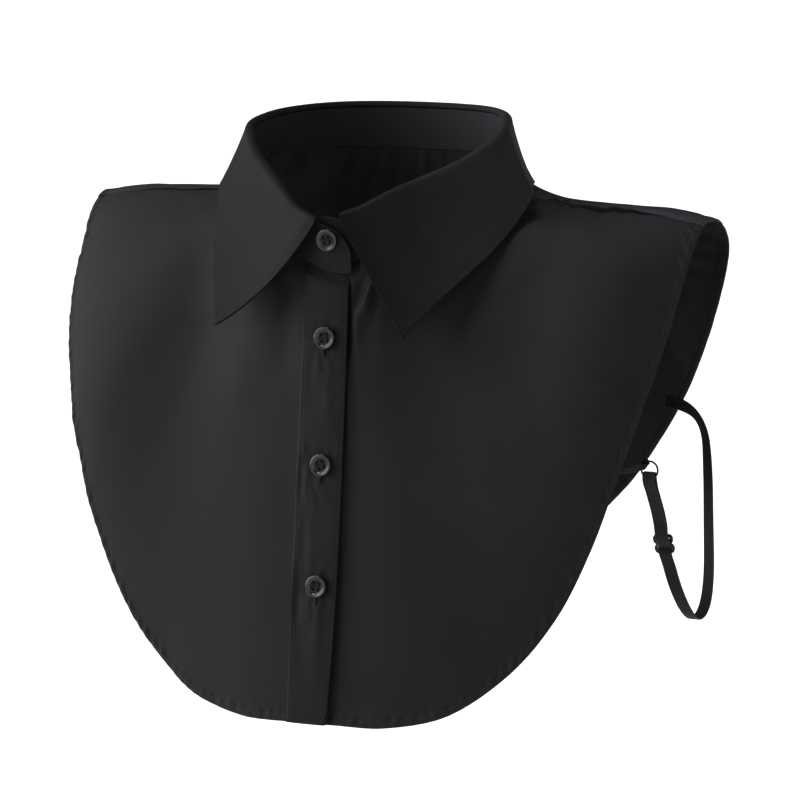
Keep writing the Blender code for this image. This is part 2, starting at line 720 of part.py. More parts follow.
def slider(side, word, frame, collection, finish):
    """A two-lobed strap slider: a plate with two slots round a middle bar."""
    centre, way, ahead, behind = frame
    lobe = (SLIDER_BAR_PITCH + SLIDER_BAR / 2) / 2
    round_in = SLIDER_WIDTH / 2 - LOBE_ROUND
    turns = np.radians(range(-70, 91, 20))
    quarter = [(round_in + LOBE_ROUND * math.cos(turn), lobe + lobe * math.sin(turn)) for turn in turns]
    outline = quarter + [(-x, y) for x, y in quarter[::-1]]
    outline += [(-x, -y) for x, y in quarter] + [(x, -y) for x, y in quarter[::-1]]
    slot_height = SLIDER_BAR_PITCH - SLIDER_BAR
    slot = rounded_outline(SLIDER_SLOT_WIDTH, slot_height, 0.5, 2)
    curve = bpy.data.curves.new(f"slider_{word}", "CURVE")
    curve.dimensions = "2D"
    curve.fill_mode = "BOTH"
    curve.extrude = SLIDER_WALL / 2 * MM
    slots = [[(x, y + s * SLIDER_BAR_PITCH / 2) for x, y in slot] for s in (1, -1)]
    for points in [outline] + slots:
        spline = curve.splines.new("POLY")
        spline.points.add(len(points) - 1)
        for spot, (x, y) in zip(spline.points, points):
            spot.co = (x * MM, y * MM, 0, 1)
        spline.use_cyclic_u = True
    made = add_object(f"slider_{word}", curve, finish, collection)
    way = unit(way - ahead * (way @ ahead))
    place = Matrix.Identity(4)
    for column, axis in enumerate((way, -ahead, np.cross(way, -ahead))):
        place.col[column][:3] = axis
    place.col[3][:3] = centre * MM
    made.matrix_world = place
    return made


def build():
    clear_scene()
    collection = collection_for("detachable_shirt_collar")
    cutters = collection_for("cutters")
    cloth = material("black_cloth", BLACK_CLOTH, 0.7)
    elastic = material("black_elastic", BLACK_ELASTIC, 0.8)
    plastic = material("black_plastic", BLACK_PLASTIC, 0.25)
    enamel = material("black_enamel", BLACK_ENAMEL, 0.35)
    front_panel("front_right", RIGHT, collection, cloth)
    front_panel("front_left", LEFT, collection, cloth)
    back_panel(collection, cloth)
    placket(collection, cloth)
    collar_band(collection, cloth)
    collar_leaf(collection, cloth)
    buttons(collection, cutters, plastic)
    for side, word in ((LEFT, "left"), (RIGHT, "right")):
        frame = strap(side, word, collection, elastic)
        ring(side, word, collection, enamel)
        ring_tab(side, word, collection, cloth)
        slider(side, word, frame, collection, enamel)


build()
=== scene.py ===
"""The detachable shirt collar as it looks: black poplin fronts and back, a buttoned placket, a pointed
collar on its band, and an elastic strap with a slider under each arm."""

import math

import bpy
import numpy as np
from mathutils import Matrix, Vector


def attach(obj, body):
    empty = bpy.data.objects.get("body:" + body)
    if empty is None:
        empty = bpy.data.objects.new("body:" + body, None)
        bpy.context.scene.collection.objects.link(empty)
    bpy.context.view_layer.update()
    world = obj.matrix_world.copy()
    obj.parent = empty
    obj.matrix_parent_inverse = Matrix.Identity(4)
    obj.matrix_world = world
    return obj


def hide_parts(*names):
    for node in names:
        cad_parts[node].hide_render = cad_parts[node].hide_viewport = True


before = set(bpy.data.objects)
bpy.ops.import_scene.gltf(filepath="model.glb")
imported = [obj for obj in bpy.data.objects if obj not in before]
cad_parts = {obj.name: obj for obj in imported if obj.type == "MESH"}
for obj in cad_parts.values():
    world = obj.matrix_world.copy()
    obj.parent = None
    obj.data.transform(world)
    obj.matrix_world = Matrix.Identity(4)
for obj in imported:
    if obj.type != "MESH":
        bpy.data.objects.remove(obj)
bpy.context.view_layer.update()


# ------------------------------ Back panel
# The back is one piece of black cotton poplin that falls from the neck seam over both shoulder blades.
# Its free edge is turned in twice and topstitched, and its other edges are sewn into the seams.

MM = 0.001
LEFT, RIGHT = 1, -1
UP = np.array([0.0, 0.0, 1.0])

# The neck seam and the top of the collar band in millimetres, from the centre back to the front end:
# seam x, y, z, top x, y, z
NECK_ROWS = np.array([
    (0, 57.5, 12.6, 0, 53, 33.8),
    (21.5, 55.5, 12.7, 20.5, 50.5, 33.8),
    (41, 49, 13, 38.5, 43.5, 33.6),
    (56.5, 39, 13, 51.7, 31.8, 33),
    (66, 25.5, 12, 60, 18.2, 31.8),
    (69.5, 12, 9, 65.3, 6, 29.5),
    (70, -1, 5, 68, -4, 25.8),
    (66, -12.5, -1.5, 63.5, -12.5, 19.5),
    (57.5, -25, -9.5, 54.5, -22.5, 12),
    (45, -38, -17, 42, -33.5, 5.2),
    (33, -47.5, -23.5, 30, -44, -1.2),
    (18, -55, -31, 16.5, -54, -9.5),
    (3, -57.8, -37, 3, -59.5, -14.5),
    (-12.5, -56.8, -41.5, -12.5, -58.5, -21),
    (-27, -52, -45, -27, -53.5, -31),
])
NECK_TURN = np.array([-1, 1, 1, -1, 1, 1])

# Cuts through the panels, from the centre back over the shoulder to the front edge: place on the neck
# seam, free edge x, y, z, dip beside the neck, swell further out
PANEL_ROWS = np.array([
    (0, 0, 67, -202, 0, 8),
    (0.55, 52, 65, -194, 0, 8),
    (1.05, 92, 61, -171, 1, 8),
    (1.55, 121, 57.5, -141, 2, 8),
    (2.1, 143, 54.5, -107, 4, 7.5),
    (2.65, 158, 51.5, -75, 7, 7),
    (3.2, 167, 49, -46, 11, 5.5),
    (3.75, 171, 46.5, -27, 15.5, 3.5),
    (4.3, 171.8, 35, -15.8, 18.5, 1.5),
    (4.85, 171.3, 23, -12.8, 19, 1),
    (5.4, 170.9, 13.5, -15.5, 18, 2),
    (6, 170.3, 0.5, -30, 15, 5),
    (6.6, 168.4, -15.5, -57.5, 10, 9.5),
    (7.2, 163, -30.5, -91, 7, 11.5),
    (7.8, 152.5, -42, -131, 5.5, 11.5),
    (8.4, 139.4, -48, -170.5, 3.5, 10),
    (9, 123.5, -52, -203.3, 2, 8),
    (9.6, 101.3, -57.5, -231.5, 1, 6),
    (10.3, 72, -65.5, -253.3, 0, 4),
    (10.95, 41, -73, -261.2, 0, 2),
    (11.5, 12.2, -76, -261.8, 0, 0.5),
    (12.96, -10, -76, -261.8, 0, 0.5),
])
PANEL_TURN = np.array([-1, -1, 1, 1, 1, 1])
SHOULDER_SEAM = 10.0
# Near the neck the shoulder seam runs further back, and so do the cuts beside it
SEAM_SET_BACK = 1.8
SET_BACK_REACHES = (0.1, 0.45)
SET_BACK_PLACES = (5.0, 14.0)

CLOTH_WALL = 0.45
HEM_WALL = 1.0
HEM_WIDTH = 5.0
HEM_STITCH = 4.2
HEM_PROUD, HEM_ROLL, HEM_GROOVE = 0.30, 0.45, 0.34
# Distances from the free edge at which the cloth has a line of points, closest at the hem's fold
HEM_LINES = np.array([7.0, 6.2, 5.6, 5.2, 4.9, 4.6, HEM_STITCH, 3.8, 3.3, 2.4, 1.3, 0.5, 0.0])
HEM_STITCH_LINE = list(HEM_LINES).index(HEM_STITCH) - len(HEM_LINES)
THREAD = 0.34
# Pitch of the weave, and the sum of wear and painted light at which the cloth is at its palest
YARN = 0.32
PALEST_WEAR_AND_LIGHT = 4


def between(rows, turn, place):
    """The row at a place between the whole-numbered rows, on a smooth curve through them all. Before the
    centre back come the same rows turned round."""

    def row(i):
        return turn * rows[-i] if i < 0 else rows[min(i, len(rows) - 1)]

    i = min(math.floor(place), len(rows) - 2)
    t = place - i
    before, here, ahead, beyond = (row(i + k) for k in (-1, 0, 1, 2))
    bend = 2 * before - 5 * here + 4 * ahead - beyond
    twist = 3 * (here - ahead) + beyond - before
    return here + 0.5 * t * (ahead - before + t * (bend + t * twist))


def unit(v):
    return v / np.linalg.norm(v, axis=-1, keepdims=True)


def ease(value, start, end):
    """A smooth step from 0 at the start to 1 at the end."""
    t = np.clip((value - start) / (end - start), 0, 1)
    return t * t * (3 - 2 * t)


def bell(gap, width):
    """1 where the gap is nothing, dying away over the width."""
    return np.exp(-((gap / width) ** 2))


def uneven_wave(along, length, swing, slow):
    """A wave whose length keeps changing."""
    return np.sin(along / length + swing * np.sin(along / slow))


def run_length(points, axis=0):
    """How far along the cloth each point lies from the first one, in millimetres."""
    steps = np.linalg.norm(np.diff(points, axis=axis), axis=-1)
    return np.concatenate([np.zeros_like(np.take(steps, [0], axis)), np.cumsum(steps, axis=axis)], axis)


def point_at(where, distances, rows):
    """The points at these distances along a line of points."""
    return np.stack([np.interp(where, distances, rows[:, k]) for k in range(3)], -1)


def panel_cut(place):
    """The two ends of one cut through the left half, the way out of the cloth, its dip and its swell."""

    def ends(at):
        row = between(PANEL_ROWS, PANEL_TURN, at)
        return between(NECK_ROWS, NECK_TURN, row[0])[:3], row[1:4], row[4], row[5]

    neck, edge, dip, swell = ends(place)
    neck_a, edge_a, _, _ = ends(place - 0.05)
    neck_b, edge_b, _, _ = ends(place + 0.05)
    out = unit(np.cross(neck_b + edge_b - neck_a - edge_a, edge - neck))
    return neck, edge, out, dip, swell


def panel_line(side, place, reach):
    """Points of one cut: reach is 0 at the neck seam and 1 at the free edge."""
    neck, edge, out, dip, swell = panel_cut(place)
    reach = np.atleast_1d(reach)[:, None]
    near = (1 - reach) ** 1.5 * (1 - (1 - reach) ** 30)
    far = 6.75 * reach**2 * (1 - reach)
    line = neck + (edge - neck) * reach + out * swell * far - UP * dip * near
    return line * np.array([side, 1, 1])


def panel_frame(side, place, reach):
    """A spot on the panels' outer face, the way down its cut and the way out."""
    above, spot, below = panel_line(side, place, (reach - 0.01, reach, min(reach + 0.01, 1)))
    beside = panel_line(side, place + 0.01, reach)[0] - panel_line(side, place - 0.01, reach)[0]
    down = unit(below - above)
    return spot, down, unit(np.cross(beside, down)) * side


def ways_out(points, side):
    return unit(np.cross(np.gradient(points, axis=0), np.gradient(points, axis=1))) * side


def beside_seam(place, reach):
    """A row's place on the cut at this reach, set back with the shoulder seam near the neck."""
    size = np.abs(place)
    share = np.where(size < SHOULDER_SEAM, ease(size, SET_BACK_PLACES[0], SHOULDER_SEAM),
                     1 - ease(size, SHOULDER_SEAM, SET_BACK_PLACES[1]))
    return place - np.copysign(SEAM_SET_BACK * (1 - ease(reach, *SET_BACK_REACHES)) * share, place)


def panel_surface(side, places, steps):
    """Points of the panels' outer face in millimetres, a row for each place from the neck seam to the free
    edge, with the way out at each and its distance from the neck and from the free edge."""
    cuts = np.linspace(places[0] - (SEAM_SET_BACK + 0.1 if places[0] > 0 else 0), places[-1], 450)
    lines, reaches, from_edge = [], [], []
    spread = 1 - np.cos(np.pi * np.linspace(0, 0.62, steps))
    for cut in cuts:
        neck, edge, _, _, _ = panel_cut(cut)
        length = np.linalg.norm(edge - neck)
        inner = (1 - HEM_LINES[0] / length) * spread / spread[-1]
        reaches.append(np.concatenate([inner, 1 - HEM_LINES[1:] / length]))
        lines.append(panel_line(side, cut, reaches[-1]))
        from_edge.append((1 - reaches[-1]) * length)
    lines, reaches, from_edge = np.array(lines), np.array(reaches), np.array(from_edge)
    points, apart = [], []
    for column in range(lines.shape[1]):
        at = beside_seam(places, np.interp(places, cuts, reaches[:, column]))
        points.append(point_at(at, cuts, lines[:, column]))
        apart.append(np.interp(at, cuts, from_edge[:, column]))
    points, apart = np.stack(points, 1), np.stack(apart, 1)
    return points, ways_out(points, side), apart[:, :1] - apart, apart


def soft_folds(points, out, side, folds):
    """Folds laid in the cloth: the place and reach of each end, a width, and a height that is
    negative for a trough. A fold is narrow where it starts, and widens and dies away."""
    for start_place, start_reach, end_place, end_reach, width, height in folds:
        stops = np.linspace(0, 1, 12)
        spine = [panel_line(side, start_place + (end_place - start_place) * t,
                            start_reach + (end_reach - start_reach) * t)[0] for t in stops]
        nearest = np.full(points.shape[:2], np.inf)
        along = np.zeros(points.shape[:2])
        for k, (a, b) in enumerate(zip(spine, spine[1:])):
            t = np.clip((points - a) @ (b - a) / ((b - a) @ (b - a)), 0, 1)
            gap = np.linalg.norm(points - a - t[..., None] * (b - a), axis=2)
            along = np.where(gap < nearest, (k + t) / (len(spine) - 1), along)
            nearest = np.minimum(gap, nearest)
        wide = width * (0.6 + 0.8 * along)
        crest = bell(nearest, wide) - 0.3 * bell(nearest - 2 * wide, wide)
        strength = ease(along, -0.05, 0.12) * (1 - ease(along, 0.35, 1)) * (1 + 0.25 * np.sin(11 * along + width))
        points = points + out * (height * crest * strength)[..., None]
    return points


def turned_hem(points, out, from_edge, pucker):
    """The edge stands out by its turned layers and rolls in at the fold, the stitches draw it in, and the
    cloth puckers along them."""
    along = run_length(points[:, -1])[:, None]
    layers = HEM_PROUD * (1 - ease(from_edge, HEM_WIDTH - 0.5, HEM_WIDTH + 0.4))
    rolled = -HEM_ROLL * (1 - ease(from_edge, 0.0, 1.6))
    groove = -HEM_GROOVE * bell(from_edge - HEM_STITCH, 0.45)
    ripple = uneven_wave(along, 0.95, 1.6, 9.0) + 0.6 * uneven_wave(along, 2.3, 2.0, 31.0)
    slant = np.sin((along + 0.8 * from_edge) / 1.5 + 2.2 * np.sin(along / 13.0))
    slant = slant * (0.6 + 0.4 * np.sin(along / 17.0))
    ripple = pucker * (ripple + 1.2 * slant) * bell(from_edge - HEM_STITCH + 1.2, 3.0)
    wave = 0.35 * uneven_wave(along, 8.5, 1.2, 23.0) * bell(from_edge, 14.0)
    return points + out * (layers + rolled + groove + ripple + wave)[..., None]


def new_form(add, **settings):
    """Adds one of the ready forms, with nothing else selected."""
    bpy.ops.object.select_all(action="DESELECT")
    add(**settings)
    return bpy.context.object


def grid_piece(name, points, flat, wear_and_painted_light):
    """A grid laid on points in millimetres. It keeps their places on the flat cloth and their wear and painted
    light.
    """
    rows, columns = points.shape[:2]
    piece = new_form(bpy.ops.mesh.primitive_grid_add, x_subdivisions=columns - 1, y_subdivisions=rows - 1, size=1)
    piece.name = piece.data.name = name
    piece.data.vertices.foreach_set("co", (points * MM).reshape(-1))
    corner = np.empty(len(piece.data.loops), np.int32)
    piece.data.loops.foreach_get("vertex_index", corner)
    piece.data.uv_layers[0].data.foreach_set("uv", (flat.reshape(-1, 2) * MM)[corner].reshape(-1))
    wear_and_light_values = piece.data.attributes.new("wear_and_painted_light", "FLOAT", "POINT")
    wear_and_light_values.data.foreach_set("value", np.broadcast_to(wear_and_painted_light, points.shape[:2]).astype(np.float32).reshape(-1))
    return piece


def modify(piece, kind, **settings):
    """Gives the piece a modifier with these settings and applies it."""
    bpy.context.view_layer.objects.active = piece
    modifier = piece.modifiers.new(kind, kind)
    for name, value in settings.items():
        setattr(modifier, name, value)
    bpy.ops.object.modifier_apply(modifier=modifier.name)


def round_off(piece, width, segments, sharp, smooth):
    """Rounds the edges that are sharper than one angle, and shades it smooth up to another."""
    modify(piece, "BEVEL", width=width * MM, segments=segments, limit_method="ANGLE",
           angle_limit=math.radians(sharp))
    bpy.ops.object.shade_smooth_by_angle(angle=math.radians(smooth))


def put_in_place(piece, finish, stands_for=None):
    """Gives a finished piece its material. It rides on the body, and may stand for a solid."""
    if finish:
        piece.data.materials.append(finish)
    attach(piece, "root")
    if stands_for:
        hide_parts(stands_for)
    return piece


def cloth_piece(name, stands_for, points, wall, offset, turn_over, finish, wear_and_painted_light, thick=None, round_edge=0.2,
                even=True):
    """A sheet of cloth: a grid laid on the points, given its wall and its softly rounded edges."""
    piece = grid_piece(name, points, np.stack([run_length(points), run_length(points, 1)], 2), wear_and_painted_light)
    if turn_over:
        bpy.ops.object.mode_set(mode="EDIT")
        bpy.ops.mesh.select_all(action="SELECT")
        bpy.ops.mesh.flip_normals()
        bpy.ops.object.mode_set(mode="OBJECT")
    turned = {}
    if thick is not None:
        group = piece.vertex_groups.new(name="turned")
        group.add([int(i) for i in np.flatnonzero(thick.reshape(-1))], 1.0, "REPLACE")
        turned = {"vertex_group": "turned", "thickness_vertex_group": CLOTH_WALL / HEM_WALL}
    modify(piece, "SOLIDIFY", thickness=wall * MM, offset=offset, use_even_offset=even, **turned)
    round_off(piece, round_edge, 2, 70, 50)
    return put_in_place(piece, finish, stands_for)


class Finish:
    """A material in the making, with short ways to add its nodes and join them."""

    def __init__(self, name, constants):
        self.made = bpy.data.materials.new(name)
        self.made.use_nodes = True
        self.nodes, self.links = self.made.node_tree.nodes, self.made.node_tree.links
        self.shader = self.nodes["Principled BSDF"].inputs
        for socket, value in constants.items():
            self.shader[socket].default_value = value
        place = self.nodes.new("ShaderNodeTexCoord").outputs
        self.flat, self.solid = place["UV"], place["Object"]

    def join(self, value, socket):
        if isinstance(value, bpy.types.NodeSocket):
            self.links.new(value, socket)
        else:
            socket.default_value = value

    def add(self, kind, inputs, output, **settings):
        """A node with its settings, and its inputs given as values or as the outputs of other nodes."""
        node = self.nodes.new("ShaderNode" + kind)
        for name, value in settings.items():
            setattr(node, name, value)
        for name, value in inputs.items():
            self.join(value, node.inputs[name])
        return node.outputs[output]

    def noise(self, on, scale, detail, rough=0.5, stretch=(1, 1, 1)):
        """A noise texture over the given coordinates, drawn out along the axes with a low stretch."""
        drawn = self.add("Mapping", {"Vector": on, "Scale": stretch}, "Vector")
        return self.add("TexNoise", {"Vector": drawn, "Scale": scale, "Detail": detail, "Roughness": rough}, "Fac")

    def bands(self, direction, pitch, distortion):
        """Rows across the flat cloth, at a pitch in millimetres."""
        return self.add("TexWave", {"Vector": self.flat, "Scale": math.tau / (20 * pitch * MM),
                                    "Distortion": distortion, "Detail": 1.0}, "Fac", bands_direction=direction)

    def wear_and_painted_light(self):
        return self.add("Attribute", {}, "Fac", attribute_name="wear_and_painted_light")

    def ranged(self, value, from_low, from_high, low, high):
        return self.add("MapRange", {"Value": value, "From Min": from_low, "From Max": from_high,
                                     "To Min": low, "To Max": high}, "Result")

    def sum_of(self, first, second, operation="ADD"):
        return self.add("Math", {0: first, 1: second}, "Value", operation=operation)

    def colour(self, share, dark, light):
        mixed = self.add("Mix", {"Factor": share, "A": (*dark, 1), "B": (*light, 1)}, "Result", data_type="RGBA")
        self.join(mixed, self.shader["Base Color"])

    def rough(self, value, from_low, from_high, low, high):
        self.join(self.ranged(value, from_low, from_high, low, high), self.shader["Roughness"])

    def bump(self, height, strength, distance):
        """Relief, with its depth in millimetres."""
        raised = self.add("Bump", {"Height": height, "Strength": strength, "Distance": distance * MM}, "Normal")
        self.join(raised, self.shader["Normal"])


def woven_cloth(name, dark, pale_from_wear_and_light, sheen, gloss):
    """A plain-woven cotton: threads over and under, slubs in the yarn, a dye that took unevenly, and
    paler, rougher places where it has rubbed and where light is painted in; painted shade lowers the tone."""
    cloth = Finish(name, {"Specular IOR Level": gloss, "Sheen Weight": sheen, "Sheen Roughness": 0.5,
                          "Sheen Tint": (0.75, 0.78, 0.90, 1)})
    over_under = cloth.sum_of(cloth.bands("X", YARN, 0.6), cloth.bands("Y", YARN, 0.6), "MULTIPLY")
    slubs = cloth.sum_of(cloth.noise(cloth.flat, 900, 3, stretch=(1, 0.06, 1)),
                         cloth.noise(cloth.flat, 900, 3, stretch=(0.06, 1, 1)))
    dye = cloth.noise(cloth.solid, 38, 4, 0.6)
    fibre = cloth.noise(cloth.solid, 2600, 2)
    tone = cloth.sum_of(cloth.ranged(slubs, 0.7, 1.3, -0.22, 0.22), cloth.ranged(dye, 0.3, 0.7, 0.22, 0.62))
    tone = cloth.sum_of(tone, cloth.ranged(fibre, 0.3, 0.7, -0.06, 0.06))
    # The attribute adds real wear together with painted light and painted shade to the tone
    tone = cloth.sum_of(tone, cloth.wear_and_painted_light())
    cloth.colour(cloth.ranged(tone, 0, PALEST_WEAR_AND_LIGHT, 0, 1), dark, pale_from_wear_and_light)
    cloth.rough(tone, 0, 1, 0.57, 0.70)
    cloth.bump(cloth.sum_of(over_under, cloth.ranged(slubs, 0.6, 1.4, 0.0, 0.9)), 0.35, 0.06)
    return cloth.made


def thread_finish(name, colour):
    """Twisted polyester thread, a little glossier than the cloth."""
    thread = Finish(name, {"Specular IOR Level": 0.09, "Roughness": 0.45})
    thread.colour(thread.noise(thread.solid, 3000, 2), [c * 0.6 for c in colour], [c * 1.5 for c in colour])
    return thread.made


def stitch_form():
    """One stitch of thread: a short bead, rounded off at both ends, a unit long."""
    bead = new_form(bpy.ops.mesh.primitive_uv_sphere_add, segments=6, ring_count=5, radius=0.5,
                    rotation=(0, math.radians(90), 0))
    bpy.ops.object.transform_apply(location=False, rotation=True, scale=False)
    points = np.array([v.co for v in bead.data.vertices])
    points[:, 0] = 0.5 * np.sign(points[:, 0]) * np.abs(2 * points[:, 0]) ** 0.7
    faces = [tuple(f.vertices) for f in bead.data.polygons]
    bpy.data.objects.remove(bead)
    return points, faces


STITCH_POINTS, STITCH_FACES = stitch_form()


def stitches(name, runs, finish):
    """Copies of the one stitch, each at its middle and turned along its own way: (middle, ahead, out,
    length, thickness) in millimetres. They make one piece, a row of sewing."""
    points, faces = [], []
    for middle, ahead, out, length, thick in runs:
        across = unit(np.cross(out, ahead))
        up = np.cross(ahead, across)
        scaled = STITCH_POINTS * (length, thick, thick * 0.8)
        faces += [tuple(len(points) * len(STITCH_POINTS) + i for i in face) for face in STITCH_FACES]
        points.append(middle + scaled[:, :1] * ahead + scaled[:, 1:2] * across + scaled[:, 2:] * up)
    mesh = bpy.data.meshes.new(name)
    mesh.from_pydata((np.concatenate(points) * MM).tolist(), [], faces)
    mesh.shade_smooth()
    piece = bpy.data.objects.new(name, mesh)
    bpy.context.scene.collection.objects.link(piece)
    return put_in_place(piece, finish)


def sewn_run(line, out, raise_by, length=2.0, gap=0.55):
    """The stitches of one sewn line that follows the points of a line."""
    distance = run_length(line)
    count = max(1, int(distance[-1] // (length + gap)))
    middles = (np.arange(count) + 0.5) * distance[-1] / count
    ahead = unit(point_at(middles + 0.6, distance, line) - point_at(middles - 0.6, distance, line))
    spots, ways = point_at(middles, distance, line), unit(point_at(middles, distance, out))
    return [(spot + way * raise_by, go, way, length, THREAD) for spot, go, way in zip(spots, ahead, ways)]


def hemmed_panel(name, stands_for, points, out, from_edge, turn_over, wear_and_painted_light):
    """A panel that is doubled along its hem, and a row of stitches on each face of the hem."""
    piece = cloth_piece(f"{name}_cloth", stands_for, points, HEM_WALL, -1, turn_over, poplin, wear_and_painted_light,
                        from_edge < HEM_WIDTH)
    line, way = points[:, HEM_STITCH_LINE], out[:, HEM_STITCH_LINE]
    runs = sewn_run(line, way, 0.06) + sewn_run(line, -way, HEM_WALL + 0.02)
    return piece, stitches(f"{name}_hem_stitches", runs, black_thread)


# The paler colour stands for rubbed cloth and for painted light, where the attribute runs high
poplin = woven_cloth("black_poplin", (0.0028, 0.0027, 0.0031), (0.0180, 0.0175, 0.0211), 0.015, 0.08)
black_thread = thread_finish("black_thread", (0.0042, 0.0042, 0.0046))

# Folds in the back: place and reach of each end, width, height. The short ones hang from the neck seam,
# the long ones fall from the shoulder blades, and the rest lie behind the arms.
BACK_FOLDS = [
    (-6.3, 0, -6.6, 0.2, 2.6, -1.3),
    (-5.4, 0, -5.2, 0.24, 3.6, 1.2),
    (-3.4, 0, -3.1, 0.18, 3, -1),
    (-2.1, 0, -2, 0.17, 2.6, -1.4),
    (-1.5, 0, -1.3, 0.24, 3.2, 1.3),
    (-0.3, 0, -0.1, 0.16, 2.8, -1.1),
    (0.7, 0, 0.9, 0.2, 3, 1.1),
    (2.3, 0, 2.8, 0.22, 3.4, -1.3),
    (4.6, 0, 4.9, 0.2, 3.2, 1),
    (-3.2, 0.1, -2.2, 0.85, 10, -2.2),
    (-1.7, 0.14, -1.2, 0.8, 12, 1.8),
    (0.6, 0.12, 0.5, 0.75, 11, -1.6),
    (2.1, 0.12, 1.7, 0.86, 10, 2),
    (3.4, 0.1, 2.7, 0.8, 9, -2.2),
    (6.9, 0.45, 6.1, 1, 5, -1.6),
    (6, 0.55, 5.3, 1, 4.5, 1.3),
    (5.3, 0.6, 4.7, 1, 4, -1.4),
    (4.6, 0.66, 4.1, 1, 4, 1.2),
    (-6.8, 0.5, -6, 1, 5, -1.4),
    (-5.7, 0.55, -5.1, 1, 4.5, 1.4),
    (-4.9, 0.62, -4.3, 1, 4.2, -1.5),
]
# Behind the arms the unsupported cloth is crumpled: height, and the two ways that the creases run
ARMHOLE_CRUMPLE = (
    (0.40, (0.0, 1.15, 0.12), (0.0, 0.10, 0.16)),
    (0.30, (0.0, 0.80, -0.42), (0.0, 0.26, 0.09)),
    (0.22, (0.0, 1.70, 0.30), (0.0, 0.30, 0.32)),
)
BACK_LIES_OVER = 0.02
# The shoulder seam draws the cloth less on the wearer's right
SEAM_DRAW_RIGHT = 0.3
SEAM_RIPPLES_HEIGHT, SEAM_RIPPLES_REACH = 0.75, 5.5
SEAM_LIP_WIDTH = 2.2


def shoulder_seam_draw(points, out, from_seam, from_edge, lift, strength):
    """The seam pulls the cloth into short ripples beside it, which fade towards the shoulder's end."""
    ripple = uneven_wave(run_length(points, 1), 2.1, 1.4, 6.0) * bell(from_seam, SEAM_RIPPLES_REACH)
    ripple = SEAM_RIPPLES_HEIGHT * strength * ripple * ease(from_edge, 6, 60)
    return points + out * (ripple + lift * bell(from_seam, SEAM_LIP_WIDTH))[..., None]


def back_panel():
    end = SHOULDER_SEAM - BACK_LIES_OVER
    along = np.linspace(-1, 1, 351)
    places = end * np.copysign(1 - (1 - np.abs(along)) ** 1.5, along)
    points, out, _, from_edge = panel_surface(LEFT, places, 70)
    points = soft_folds(points, out, LEFT, BACK_FOLDS)
    crumple = sum(size * np.sin(points @ np.array(way) + 1.3 * np.sin(points @ np.array(bend)))
                  for size, way, bend in ARMHOLE_CRUMPLE)
    behind_arm = ease(from_edge, 5, 12) * (1 - ease(from_edge, 30, 70)) * ease(np.abs(points[..., 0]), 130, 150)
    points = turned_hem(points + out * (crumple * behind_arm)[..., None], out, from_edge, 0.13)
    round_neck = run_length(points)
    from_seam = np.minimum(round_neck, round_neck[-1:] - round_neck)
    strength = np.where(places > 0, 1.0, SEAM_DRAW_RIGHT)[:, None]
    along = run_length(points, 1)
    lip = 1.35 + 0.3 * np.sin(along / 5.3 + 1.0) + 0.15 * np.sin(along / 1.9)
    lift = strength * (0.1 + lip * ease(from_edge, 15, 45))
    points = shoulder_seam_draw(points, out, from_seam, from_edge, lift, strength)
    # Paler at the rubbed free edge and on the hem's turned band; painted light makes the strip beside the shoulder
    # seam and the inside behind the arms paler
    wear_and_painted_light = 0.30 * bell(from_edge, 1.6) + 0.25 * (1 - ease(from_edge, 3.5, HEM_WIDTH))
    wear_and_painted_light = wear_and_painted_light + strength * 2.4 * bell(from_seam, 8.0) + 0.6 * behind_arm
    return hemmed_panel("back", "back_panel", points, out, from_edge, True, wear_and_painted_light)


back, back_sewing = back_panel()


# ------------------------------ Fronts
# The two fronts are cut in the same poplin and joined to the back at the shoulder seams, which are pressed
# towards the back. The wearer's right front lies on top, and both are hemmed as the back is.

FRONT_LAP = 20.97
FRONT_TUCK = 2.0
FRONT_LIES_UNDER = 0.07

# Folds in each front: place and reach of each end, width, height
FRONT_FOLDS = {
    LEFT: [
        (18.3, 0.03, 19.72, 0.175, 2.6, 3.4),
        (19.96, 0.03, 19.99, 0.3, 3.4, -5),
        (19.92, 0.035, 19.98, 0.55, 1.7, -3),
        (19.97, 0.1, 19.95, 1, 1.2, -1.4),
        (17.6, 0.1, 18.6, 0.62, 16, -1.1),
        (15.2, 0.25, 16.6, 0.85, 20, 1.2),
        (13.2, 0.3, 14.2, 0.8, 18, -1),
        (11.2, 0.3, 12.2, 0.95, 12, 0.9),
    ],
    RIGHT: [
        (18.9, 0.05, 19.3, 0.34, 7, -1.2),
        (17.4, 0.14, 18.2, 0.7, 17, 1),
        (15.4, 0.28, 16.4, 0.85, 20, -1.2),
        (13.1, 0.3, 14.3, 0.82, 18, 1),
        (11.1, 0.3, 12, 0.92, 12, -0.9),
    ],
}
FRONT_RECESS = 2.6


def neck_recess(points, out, places, from_neck):
    """Under the band's lapped ends the fronts run in towards the neck seam."""
    depth = FRONT_RECESS * (1 - ease(from_neck, 0, 7.5)) * ease(places, 18.6, 19.9)[:, None]
    return points - out * depth[..., None]


